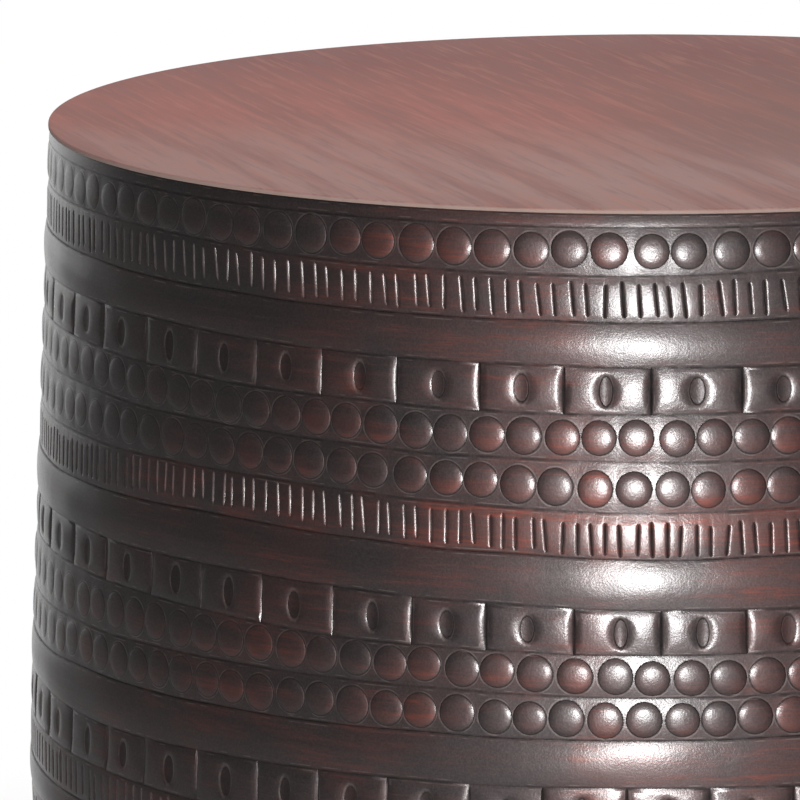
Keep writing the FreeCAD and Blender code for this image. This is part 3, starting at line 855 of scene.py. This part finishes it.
# %% Shared effect: brushed streaks
streaks, enter, leave = new_group(
    "brushed_streaks",
    [("Vector", "NodeSocketVector", None), ("Stretch", "NodeSocketVector", (20.0, 20.0, 900.0)),
     ("Turn", "NodeSocketVector", (0.0, 0.0, 0.0)), ("Blotch Scale", "NodeSocketFloat", 14.0)],
    ["Fine", "Broad", "Blotch"])
turning = add_node(streaks, "ShaderNodeMapping", vector_type="POINT")
streaks.links.new(enter.outputs["Vector"], turning.inputs["Vector"])
streaks.links.new(enter.outputs["Turn"], turning.inputs["Rotation"])
stretching = add_node(streaks, "ShaderNodeVectorMath", operation="MULTIPLY")
streaks.links.new(turning.outputs["Vector"], stretching.inputs[0])
streaks.links.new(enter.outputs["Stretch"], stretching.inputs[1])
stretched = stretching.outputs["Vector"]
put_out(streaks, leave, {
    "Fine": noise(streaks, stretched, 1.0, 4.0, 0.65),
    "Broad": noise(streaks, stretched, 0.22, 3.0, 0.6),
    "Blotch": noise(streaks, enter.outputs["Vector"], enter.outputs["Blotch Scale"], 3.0, 0.55)})

# %% [markdown]
# Where a punch bites, patina gathers and the brush never reaches. Across and up, the corner vector has length
# one on the edge of a mark, so a narrow step there gives a crisp round line, finer than the mesh itself, and
# a mask for a painted highlight on the lip just outside it. The third number is the distance to the row's
# lines.
# It gives the chased lines, a mask for a painted highlight on the ridge that the chisel threw up beside them,
# and the sunken ovals. Across and up also give a mask for the lower half of each cap, where a painted
# reflection goes.

# %% Shared effect: the line round a mark
def near(tree, value, middle, width):
    """One where a value meets the middle, falling evenly to zero one width away on both sides."""
    away = figure(tree, "ABSOLUTE", figure(tree, "SUBTRACT", value, middle))
    return figure(tree, "SUBTRACT", 1.0, figure(tree, "DIVIDE", away, width), clamp=True)


mark_line, enter, leave = new_group(
    "mark_line",
    [("Mark", "NodeSocketVector", None), ("Width", "NodeSocketFloat", 0.10),
     ("Line Width", "NodeSocketFloat", 0.5)],
    ["Line", "Lip", "Cap", "Low", "Chased", "Ridge", "Sunk"])
across, upward, third = split_axes(mark_line, enter.outputs["Mark"])
squares = figure(mark_line, "ADD", product(mark_line, across, across), product(mark_line, upward, upward))
distance = figure(mark_line, "SQRT", squares)
sunken = figure(mark_line, "GREATER_THAN", third, OVAL_FLAG / 2)
marked = figure(mark_line, "SUBTRACT", figure(mark_line, "GREATER_THAN", distance, 0.0001), sunken, clamp=True)
cap = product(mark_line, ramp(mark_line, distance, 0.75, 1.0, 1.0, 0.0), marked)
beside = figure(mark_line, "DIVIDE", third, enter.outputs["Line Width"])
# Lip and Ridge are masks for painted highlights, and Low is a mask for a painted reflection on each cap.
put_out(mark_line, leave, {
    "Line": near(mark_line, distance, 0.98, enter.outputs["Width"]),
    "Lip": near(mark_line, distance, 1.06, enter.outputs["Width"]),
    "Cap": cap,
    "Low": product(mark_line, cap, ramp(mark_line, upward, -0.7, 0.4, 1.0, 0.0)),
    "Chased": figure(mark_line, "SUBTRACT", 1.0, beside, clamp=True),
    "Ridge": near(mark_line, beside, 1.35, 1 / 2.2),
    "Sunk": sunken})

# %% [markdown]
# The wall is plated, darkened almost to black, rubbed back with a pad that runs round the drum, and
# lacquered. Reddish metal shows through in level streaks. A painted reflection adds more of it on the lower
# half of each raised cap. Towards the left, and higher up the further left, less reddish metal is painted in:
# painted shade that keeps the side away from the lamps dark and neutral.

# %% Wall finish: rubbed patina, painted shade and painted reflection
patina_wall, tree, surface = new_finish("patina_wall")
where = object_place(tree)
brushing = place_group(tree, streaks, Vector=where, Stretch=(90.0, 90.0, 1400.0), Blotch_Scale=26.0)
mark = add_node(tree, "ShaderNodeAttribute", attribute_name="mark").outputs["Vector"]
rub = add_node(tree, "ShaderNodeAttribute", attribute_name="rub").outputs["Fac"]
punched = place_group(tree, mark_line, Mark=mark, Width=0.055, Line_Width=0.65)
aside, _, level = split_axes(tree, where)
# Painted shade: towards the left, and higher up the further left, less reddish metal is painted in.
leaning = figure(tree, "SUBTRACT", aside, product(tree, level, 0.45))
rub_and_left_shade = product(tree, rub, ramp(tree, leaning, -0.36, -0.27, 0.2, 1.0))
patches_and_left_shade = product(tree, ramp(tree, brushing["Blotch"], 0.40, 0.62, 0.25, 1.0), rub_and_left_shade)
streaked = product(tree, ramp(tree, brushing["Fine"], 0.36, 0.74), ramp(tree, brushing["Broad"], 0.40, 0.66))
streaky = figure(tree, "ADD", product(tree, streaked, 0.9), 0.20)
# Painted reflection: the lower half of each cap gets more reddish metal, where the low lamp is mirrored.
painted_cap_reflection = product(tree, product(tree, punched["Low"], patches_and_left_shade), 0.32)
rub_and_painted_light = figure(tree, "ADD", product(tree, patches_and_left_shade, streaky), painted_cap_reflection, clamp=True)
grain = noise(tree, where, 1500.0, 2.0, 0.6)
dark = blend_colour(tree, ramp(tree, grain, 0.35, 0.68), (0.066, 0.059, 0.060), (0.094, 0.080, 0.080))
colour = blend_colour(tree, rub_and_painted_light, dark, (0.27, 0.076, 0.057))
scratches = product(tree, ramp(tree, brushing["Fine"], 0.60, 0.76), 0.35)
colour = blend_colour(tree, scratches, colour, (0.17, 0.142, 0.138))
print("finish begun:", patina_wall.name)

# %% [markdown]
# In the cuts the patina is nearly black. The lips and ridges beside them are painted pale: a painted highlight
# where their edges would catch the light. Neither is even: a coarse noise, the size of a hammer's face, makes
# both come and go along the line.

# %% Wall finish: cuts and painted highlights on lips
hammered = noise(tree, where, 190.0, 1.0)
chased = product(tree, punched["Chased"], ramp(tree, hammered, 0.36, 0.62, 0.4, 1.0))
cuts = figure(tree, "MAXIMUM", punched["Line"], chased)
# Painted highlights: pale lips round the marks and pale ridges beside the row lines.
lip_highlight = product(tree, punched["Lip"], ramp(tree, hammered, 0.40, 0.62, 0.08, 0.6))
ridge_highlight = product(tree, punched["Ridge"], ramp(tree, hammered, 0.48, 0.66, 0.0, 0.6))
colour = blend_colour(tree, product(tree, cuts, 0.6), colour, (0.024, 0.020, 0.020))
colour = blend_colour(tree, product(tree, punched["Sunk"], 0.25), colour, (0.036, 0.030, 0.029))
colour = blend_colour(tree, figure(tree, "MAXIMUM", lip_highlight, ridge_highlight), colour, (0.26, 0.21, 0.20))
tree.links.new(colour, surface.inputs["Base Color"])
print("colour layers end in", surface.inputs["Base Color"].name)

# %% [markdown]
# The lacquer is the shader's coat, which gives the white highlights. Under it the metal reflects softly and
# keeps its colour. Cuts and ovals stay dull, because the lacquer is thin there. Metal and lacquer each have a
# fine relief of their own, so that the highlights break up as on hammered sheet.

# %% Wall finish: gloss and relief
WALL_RELIEF = 0.30
WALL_RELIEF_HEIGHT = 0.0003
tree.links.new(ramp(tree, brushing["Broad"], 0.3, 0.7, 0.49, 0.58), surface.inputs["Roughness"])
surface.inputs["Metallic"].default_value = 0.9
dull = figure(tree, "MAXIMUM", product(tree, punched["Sunk"], 0.75), product(tree, chased, 0.6))
tree.links.new(figure(tree, "SUBTRACT", 1.0, dull), surface.inputs["Coat Weight"])
surface.inputs["Coat Roughness"].default_value = 0.23
dimples = noise(tree, where, 430.0, 2.0)
uneven = figure(tree, "ADD", product(tree, grain, 0.42), product(tree, hammered, 0.45))
dimpled = product(tree, figure(tree, "SUBTRACT", dimples, 0.5), punched["Cap"])
worked = figure(tree, "SUBTRACT", product(tree, dimpled, 0.6), product(tree, cuts, 0.8))
metal_height = figure(tree, "ADD", uneven, worked)
lacquer_height = figure(tree, "ADD", uneven, product(tree, dimples, 0.35))
add_relief(tree, metal_height, WALL_RELIEF, WALL_RELIEF_HEIGHT, surface.inputs["Normal"])
add_relief(tree, lacquer_height, WALL_RELIEF, WALL_RELIEF_HEIGHT, surface.inputs["Coat Normal"])
print("finish:", patina_wall.name)

# %% [markdown]
# Now the rows can be made and painted, one piece for each. A plain band is given by its crown and its tuck in
# millimetres, and only the two collars differ from the rest.

# %% The drum wall
ROW_MAKERS = {"domes": dome_row, "panels": panel_row, "ticks": tick_row}
BAND_SHAPE = (0.60, 0.0)
COLLAR_SHAPES = {"collar": (0.10, 0.45), "lower_collar": (0.25, 0.0)}
for number, (name, kind, _, count, phase) in enumerate(ROWS):
    if kind == "plain":
        parts = plain_band(number, *COLLAR_SHAPES.get(name, BAND_SHAPE))
    else:
        parts = ROW_MAKERS[kind](number, count, phase)
    row = make_piece(f"wall_{name}", *parts)
    finish_piece(row, patina_wall, "patina_wall", "drum_wall")

# %% [markdown]
# The hem closes the wall at the bottom: the sheet is curled inwards over a wire. Its section is a crescent of
# two arcs, one for each side of the sheet, carried round the drum.

# %% The hem
CURL_OUTER = 0.0037
HEM_TURN = math.radians(240)
HOOP_COLUMNS = 288
curl = -np.linspace(0, HEM_TURN, 15)
curl_outside = np.stack([np.cos(curl), np.sin(curl)], axis=-1) * CURL_OUTER
curl_inside = np.stack([np.cos(curl), np.sin(curl)], axis=-1)[::-1] * (CURL_OUTER - SHEET)
hem_profile = np.concatenate([curl_outside, curl_inside])[::-1] + [RIM_RADIUS - CURL_OUTER, HEM_LEVEL]
hem_points, hem_tables = turned(hem_profile, HOOP_COLUMNS, closed=True)
hem = make_piece("wall_hem", hem_points, hem_tables)
finish_piece(hem, patina_wall, "patina_wall", "drum_wall")

# %% [markdown]
# The top is brushed straight across in one direction and then toned a warm reddish brown. Its colour also
# carries painted light: a painted sheen makes it paler and greyer towards the front, painted shade makes it a
# little darker at the left, and a painted highlight makes its eased rim bright. It is browner on the right half
# way back. It is satin rather than glossy, so it has no coat and hardly any mirror.

# %% Top finish
patina_top, tree, surface = new_finish("patina_top")
where = object_place(tree)
brushing = place_group(tree, streaks, Vector=where, Stretch=(20.0, 300.0, 300.0),
                       Turn=(0.0, 0.0, math.radians(70)), Blotch_Scale=7.0)
aside, rearward, level = split_axes(tree, where)
# Painted sheen: the top is painted darker and redder at the back, paler and greyer towards the front.
front = ramp(tree, rearward, -0.21, 0.21, 1.0, 0.0)
blotches = product(tree, figure(tree, "SUBTRACT", brushing["Blotch"], 0.5), 0.5)
front_sheen_and_blotches = figure(tree, "ADD", front, blotches)
warm = blend_colour(tree, ramp(tree, front_sheen_and_blotches, 0.0, 0.45), (0.275, 0.100, 0.089), (0.420, 0.150, 0.122))
warm = blend_colour(tree, ramp(tree, front_sheen_and_blotches, 0.50, 1.0), warm, (0.415, 0.240, 0.215))
midway = product(tree, front, figure(tree, "SUBTRACT", 1.0, front))
layers = [
    (product(tree, ramp(tree, brushing["Broad"], 0.42, 0.58, 1.0, 0.0), 0.60), (0.300, 0.125, 0.108)),
    (product(tree, ramp(tree, brushing["Fine"], 0.48, 0.66), 0.50), (0.50, 0.235, 0.195)),
    (product(tree, ramp(tree, brushing["Fine"], 0.34, 0.50, 1.0, 0.0), 0.40), (0.230, 0.095, 0.084)),
    # painted shade: darker towards the left
    (ramp(tree, aside, -0.21, -0.08, 0.10, 0.0), (0.200, 0.078, 0.066)),
    (product(tree, midway, ramp(tree, aside, -0.04, 0.06, 0.0, 1.3)), (0.120, 0.095, 0.082)),
    # painted highlight: the eased rim below the flat top is painted pale
    (ramp(tree, level, 0.45925, 0.4599, 0.65, 0.0), (0.50, 0.39, 0.34))]
for share, tone in layers:
    warm = blend_colour(tree, share, warm, tone)
tree.links.new(warm, surface.inputs["Base Color"])
tree.links.new(ramp(tree, brushing["Fine"], 0.3, 0.7, 0.52, 0.64), surface.inputs["Roughness"])
surface.inputs["Metallic"].default_value = 0.10
surface.inputs["Specular IOR Level"].default_value = 0.10
add_relief(tree, brushing["Fine"], 0.12, 0.0001, surface.inputs["Normal"])
print("finish:", patina_top.name, "with", len(layers), "layers over the ground tone")

# %% [markdown]
# The top itself is one flat disc with its edge eased. It is turned, with a few rings so that its shading
# stays flat.

# %% Top plate
PLATE_RADIUS = 0.210
PLATE_TOP = 0.460
RIM_EASE = 0.0007
UNDER_EASE = 0.0002
ease = np.linspace(0, np.pi / 2, 7)
rim_round = np.stack([PLATE_RADIUS - RIM_EASE + RIM_EASE * np.cos(ease),
                      PLATE_TOP - RIM_EASE + RIM_EASE * np.sin(ease)], axis=-1)
flat_rings = np.array([0.16, 0.10, 0.04])
under_rings = np.stack([flat_rings[::-1], np.full(3, PLATE_UNDER)], axis=-1)
over_rings = np.stack([flat_rings, np.full(3, PLATE_TOP)], axis=-1)
plate_profile = np.vstack([[[0, PLATE_UNDER]], under_rings, [[PLATE_RADIUS - UNDER_EASE, PLATE_UNDER]],
                           [[PLATE_RADIUS, PLATE_UNDER + UNDER_EASE]], rim_round, over_rings, [[0, PLATE_TOP]]])
plate_points, plate_tables = turned(plate_profile, 360)
top_plate = make_piece("top_plate_sheet", plate_points, plate_tables)
finish_piece(top_plate, patina_top, "patina_top", "top_plate")

# %% [markdown]
# Inside, nothing is polished. Hoops, braces and brackets are flat bar in black enamel, sprayed after welding,
# so the enamel has a fine orange-peel and thin spots.

# %% Black enamel
black_steel, tree, surface = new_finish("black_enamel")
where = object_place(tree)
scuffs = place_group(tree, streaks, Vector=where, Stretch=(160.0, 160.0, 160.0), Blotch_Scale=38.0)
thin = product(tree, ramp(tree, scuffs["Blotch"], 0.58, 0.72), ramp(tree, scuffs["Fine"], 0.5, 0.66))
enamel = blend_colour(tree, thin, (0.022, 0.021, 0.021), (0.085, 0.072, 0.064))
tree.links.new(enamel, surface.inputs["Base Color"])
tree.links.new(ramp(tree, scuffs["Broad"], 0.3, 0.7, 0.38, 0.55), surface.inputs["Roughness"])
add_relief(tree, noise(tree, where, 900.0, 2.0), 0.15, 0.0002, surface.inputs["Normal"])
print("finish:", black_steel.name)

# %% [markdown]
# Studs and nuts are zinc plated, with the faint spangle of that bath. The pads are moulded plastic, dark and
# finely grained. Both differ only in their tones, so one function could make them, but the metal needs no
# relief.

# %% Zinc and plastic
zinc_steel, tree, surface = new_finish("zinc_plate")
spangle = place_group(tree, streaks, Vector=object_place(tree), Stretch=(300.0, 300.0, 1400.0),
                      Blotch_Scale=120.0)
zinc = blend_colour(tree, ramp(tree, spangle["Blotch"], 0.35, 0.65), (0.46, 0.46, 0.44), (0.62, 0.61, 0.57))
tree.links.new(zinc, surface.inputs["Base Color"])
tree.links.new(ramp(tree, spangle["Fine"], 0.3, 0.7, 0.28, 0.44), surface.inputs["Roughness"])
surface.inputs["Metallic"].default_value = 1.0

glide_plastic, tree, surface = new_finish("glide_plastic")
moulded = place_group(tree, streaks, Vector=object_place(tree), Stretch=(1500.0, 1500.0, 1500.0),
                      Blotch_Scale=60.0)
plastic = blend_colour(tree, ramp(tree, moulded["Blotch"], 0.3, 0.7),
                       (0.030, 0.030, 0.031), (0.046, 0.045, 0.044))
tree.links.new(plastic, surface.inputs["Base Color"])
tree.links.new(ramp(tree, moulded["Fine"], 0.3, 0.7, 0.50, 0.66), surface.inputs["Roughness"])
add_relief(tree, moulded["Fine"], 0.10, 0.0001, surface.inputs["Normal"])
print("finishes:", zinc_steel.name, glide_plastic.name)

# %% [markdown]
# The hoops are turned from a rectangle with eased edges, placed by the solids they stand for. Brackets,
# braces, nuts and the wire in the hem keep their solids, whose shapes are right, and only take a finish.

# %% Hoops and kept solids
HOOP_BAR = 0.003
BAR_EASE = 0.0005
for hoop in ("top_hoop", "base_hoop"):
    low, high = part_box(hoop)
    outer = high.x
    inner = outer - HOOP_BAR
    section = eased([(outer, low.z), (outer, high.z), (inner, high.z), (inner, low.z)], BAR_EASE, 3)
    hoop_points, hoop_tables = turned(section, HOOP_COLUMNS, closed=True)
    finish_piece(make_piece(f"{hoop}_bar", hoop_points, hoop_tables), black_steel, "black_steel", hoop)

for name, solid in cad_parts.items():
    if name.startswith(("brace", "foot_bracket", "base_wire")):
        finish_piece(solid, black_steel, "black_steel")
finish_piece(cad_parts["foot_nuts"], zinc_steel, "zinc_steel")

# %% [markdown]
# A glide is a stud with a snap-in foot. The stud's surface is one sheet over angle and level: the flange and
# neck are round, the wrench faces are a hexagon, and the thread is a small sawtooth that climbs one pitch per
# turn.

# %% The stud's surface
PITCH = 0.00125
STUD_COLUMNS = 48
FLANGE_PROFILE = [(0.0071, 0.0025), (0.0075, 0.0029), (0.0075, 0.0051), (0.0071, 0.0055), (0.0045, 0.0055),
                  (0.0045, 0.0082)]
HEX_HALF = 0.006
HEX_EASED = 0.0061
HEX_LEVELS = [0.0082, 0.0086, 0.0128, 0.0132]
THREAD_RADIUS = 0.0040
THREAD_DEPTH = 0.0007
THREAD_LOW, THREAD_HIGH, STUD_TOP = 0.01325, 0.0343, 0.0348
RUNOUT = 0.001
LEAD_IN = 0.0008


def stud_surface():
    """Radius over angle and level, with the hexagon and the thread between round parts.

    Hexagon = half the flats over the cosine of the angle to the middle of the nearest flat.
    Thread = 4 mm minus 0.7 mm times a sawtooth of level over pitch minus angle over a turn.
    """
    angle = around(STUD_COLUMNS)[:, None]
    hexagon = HEX_HALF / np.cos((angle % (np.pi / 3)) - np.pi / 6)
    corners_eased = np.minimum(hexagon, HEX_EASED)
    rounded = lambda r: np.full((STUD_COLUMNS, 1), r)
    levels = np.linspace(THREAD_LOW, THREAD_HIGH, 103)
    tooth = np.abs(((levels / PITCH - angle / (2 * np.pi)) % 1.0) * 2 - 1)
    runout = np.clip((levels - THREAD_LOW) / RUNOUT, 0, 1) * np.clip((STUD_TOP - levels) / RUNOUT, 0, 1)
    tip = LEAD_IN * np.clip((levels - 0.0336) / LEAD_IN, 0, 1)
    thread = THREAD_RADIUS - THREAD_DEPTH * tooth * runout - tip
    radius = np.concatenate([*[rounded(r) for r, _ in FLANGE_PROFILE], corners_eased, hexagon, hexagon,
                             corners_eased, thread, rounded(0.0030)], axis=1)
    return angle, radius, np.r_[[z for _, z in FLANGE_PROFILE], HEX_LEVELS, levels, STUD_TOP]


print("stud:", STUD_COLUMNS, "columns,", stud_surface()[1].shape[1], "levels")

# %% [markdown]
# The four glides stand a quarter turn apart. Each stud is that sheet turned to its foot and closed at both
# ends, with creases where the flats end. Each pad is a turned cup with an eased edge, open at the top for the
# flange.

# %% Glide studs and pads
FOOT_RADIUS = 0.185776
FOOT_TURNS = {1: 0.0, 2: math.pi / 2, 3: math.pi, 4: 3 * math.pi / 2}
FLAT_ENDS = [7, 8]
PAD_PROFILE = [(0, 0), (0.0128, 0), (0.014, 0.0012), (0.014, 0.005), (0.011, 0.008), (0.0046, 0.008),
               (0.0046, 0.0056), (0.0076, 0.0056), (0.0076, 0.0024), (0, 0.0024)]
PAD_EASE = 0.0006


def stud_points(turn, place):
    """The stud's sheet turned and moved to its foot, closed by a fan at both ends; the flats end in creases."""
    angle, radius, level = stud_surface()
    angle = angle + turn
    grid = np.stack([radius * np.cos(angle), radius * np.sin(angle),
                     np.broadcast_to(level, radius.shape)], axis=-1)
    index = np.arange(radius.size).reshape(radius.shape)
    nearby = np.roll(index, -1, axis=0)
    points = np.vstack([grid.reshape(-1, 3), [0, 0, level[0]], [0, 0, level[-1]]])
    low, high = np.full(STUD_COLUMNS, radius.size), np.full(STUD_COLUMNS, radius.size + 1)
    fans = [np.stack([low, nearby[:, 0], index[:, 0]], axis=-1),
            np.stack([high, index[:, -1], nearby[:, -1]], axis=-1)]
    flat_ends = np.stack([index[:, FLAT_ENDS].ravel(), nearby[:, FLAT_ENDS].ravel()], axis=-1)
    return points + [*place, 0.0], [grid_faces(index), *fans], [flat_ends]


for foot, turn in FOOT_TURNS.items():
    place = (FOOT_RADIUS * math.cos(turn), FOOT_RADIUS * math.sin(turn))
    points, tables, creases = stud_points(turn, place)
    stud = make_piece(f"glide_stud_{foot}", points, tables, creases=creases, body=f"stem_{foot}")
    finish_piece(stud, zinc_steel, "zinc_steel", f"glide_stem_{foot}")
    points, tables = turned(eased(PAD_PROFILE, PAD_EASE, 3), 64, centre=place)
    pad = make_piece(f"glide_foot_{foot}", points, tables, body=f"pad_{foot}")
    finish_piece(pad, glide_plastic, "glide_plastic", f"glide_pad_{foot}")

# %% [markdown]
# The stage is a pale floor that keeps the table's shadow. It is a large disc a hair below the feet, so that
# the two never share a plane.

# %% Floor
FLOOR_LEVEL = -0.0002
FLOOR_RINGS = (0.0, 0.4, 0.8, 2.4)
floor_points, floor_tables = turned([(r, FLOOR_LEVEL) for r in FLOOR_RINGS], 64, centre=(0.0, 1.2))
floor_mesh = bpy.data.meshes.new("floor")
floor_mesh.from_pydata(floor_points.tolist(), [], [f for t in floor_tables for f in t[:, ::-1].tolist()])
floor = bpy.data.objects.new("floor", floor_mesh)
bpy.context.scene.collection.objects.link(floor)
print("floor:", len(floor_mesh.polygons), "faces")

# %% [markdown]
# Away from the table the floor fades into the white surround, for the camera and, behind the table, also for
# what the metal mirrors. From below it lets the camera through, so that the underside can be seen.

# %% Floor finish
def mix_shaders(tree, share, first, second):
    """Two shaders mixed by a share of the second."""
    node = tree.nodes.new("ShaderNodeMixShader")
    for value, socket in zip((share, first, second), node.inputs):
        tree.links.new(value, socket)
    return node.outputs["Shader"]


floor_finish, tree, surface = new_finish("pale_floor")
surface.inputs["Base Color"].default_value = (0.42, 0.42, 0.42, 1)
surface.inputs["Roughness"].default_value = 0.9
surface.inputs["Specular IOR Level"].default_value = 0.0
path = add_node(tree, "ShaderNodeLightPath").outputs
where = object_place(tree)
reach = add_node(tree, "ShaderNodeVectorMath", operation="LENGTH")
tree.links.new(where, reach.inputs[0])
seen = product(tree, ramp(tree, reach.outputs["Value"], 0.30, 0.95, 0.35, 1.0), path["Is Camera Ray"])
rearward = figure(tree, "DIVIDE", split_axes(tree, where)[1], reach.outputs["Value"])
mirrored = product(tree, ramp(tree, rearward, 0.60, 0.96, 0.0, 0.8), path["Is Glossy Ray"])
fade = figure(tree, "MAXIMUM", seen, mirrored)
glow = add_node(tree, "ShaderNodeEmission", Color=(1.0, 1.0, 1.0, 1.0), Strength=1.0)
faded = mix_shaders(tree, fade, surface.outputs["BSDF"], glow.outputs["Emission"])
side = add_node(tree, "ShaderNodeNewGeometry")
from_below = product(tree, side.outputs["Backfacing"], path["Is Camera Ray"])
clear = tree.nodes.new("ShaderNodeBsdfTransparent")
ending = next(node for node in tree.nodes if node.type == "OUTPUT_MATERIAL")
tree.links.new(mix_shaders(tree, from_below, faded, clear.outputs["BSDF"]), ending.inputs["Surface"])
floor.data.materials.append(floor_finish)
print("finish:", floor_finish.name)

# %% [markdown]
# The photograph was taken with white behind the table and a darker room in front, which is why the wall looks
# nearly black at the left and pale again at its very edge. The world does the same: white behind, dim in
# front.

# %% Surround
world = bpy.data.worlds.new("surround")
bpy.context.scene.world = world
world.use_nodes = True
tree = world.node_tree
tree.nodes.clear()
rearward = split_axes(tree, add_node(tree, "ShaderNodeTexCoord").outputs["Generated"])[1]
behind = ramp(tree, rearward, 0.46, 0.94, 0.08, 0.95)
path = add_node(tree, "ShaderNodeLightPath")
brightness = figure(tree, "MAXIMUM", behind, path.outputs["Is Camera Ray"])
background = add_node(tree, "ShaderNodeBackground", Color=(1.0, 1.0, 1.0, 1.0))
tree.links.new(brightness, background.inputs["Strength"])
ending = add_node(tree, "ShaderNodeOutputWorld")
tree.links.new(background.outputs["Background"], ending.inputs["Surface"])
print("stage:", floor.name, world.name)

# %% [markdown]
# Two soft boxes light the table. A small bright oval stands low in front, where the wall mirrors it as the
# upright streak, and a broad one hangs above for the top. Their size matters more than their strength: it is
# what a shiny wall shows.

# %% Soft boxes
from mathutils import Matrix, Vector


def soft_box(name, place, aim, width, height, brightness):
    """An oval lamp at a place, turned to look at a point. Power = brightness times pi times its area."""
    data = bpy.data.lights.new(name, "AREA")
    data.shape = "ELLIPSE"
    data.size, data.size_y = width, height
    data.energy = brightness * math.pi * (math.pi / 4 * width * height)
    lamp = bpy.data.objects.new(name, data)
    bpy.context.scene.collection.objects.link(lamp)
    lamp.location = place
    lamp.rotation_euler = (Vector(aim) - Vector(place)).to_track_quat("-Z", "Y").to_euler()
    lamp.visible_camera = False
    return lamp


low_box = soft_box("low_front_box", (-0.032, -1.25, 0.30), (0.0, -0.21, 0.34), 0.20, 0.19, 80.0)
top_box = soft_box("overhead_box", (-0.1, -0.1, 1.9), (0.0, 0.0, 0.46), 2.2, 1.9, 1.8)
print("soft boxes:", low_box.name, top_box.name)

# %% [markdown]
# The camera stands where the photograph was taken: 2.15 m in front, a little above the top, with a long lens.
# Its turn is written as yaw, pitch and roll, and a rotation matrix is put together from them.

# %% Camera
CAMERA_PLACE = (0.0, -2.150, 0.7739)
CAMERA_LENS = 279.1
YAW, PITCH_DOWN, ROLL = np.radians([-2.342, 10.946, -0.336])
camera_data = bpy.data.cameras.new("camera")
camera_data.sensor_width = 36.0
camera_data.lens = CAMERA_LENS
camera_data.clip_start, camera_data.clip_end = 0.05, 50.0
camera = bpy.data.objects.new("camera", camera_data)
bpy.context.scene.collection.objects.link(camera)
forward = np.array([np.sin(YAW) * np.cos(PITCH_DOWN), np.cos(YAW) * np.cos(PITCH_DOWN), -np.sin(PITCH_DOWN)])
level_right = np.array([np.cos(YAW), -np.sin(YAW), 0.0])
level_up = np.cross(level_right, forward)
right = np.cos(ROLL) * level_right + np.sin(ROLL) * level_up
up = -np.sin(ROLL) * level_right + np.cos(ROLL) * level_up
axes = np.stack([right, up, -forward], axis=1)
camera.matrix_world = Matrix.LocRotScale(CAMERA_PLACE, Matrix(axes.tolist()), None)
bpy.context.scene.camera = camera
bpy.context.scene.view_settings.view_transform = "Standard"
print("camera lens", camera_data.lens, "mm")
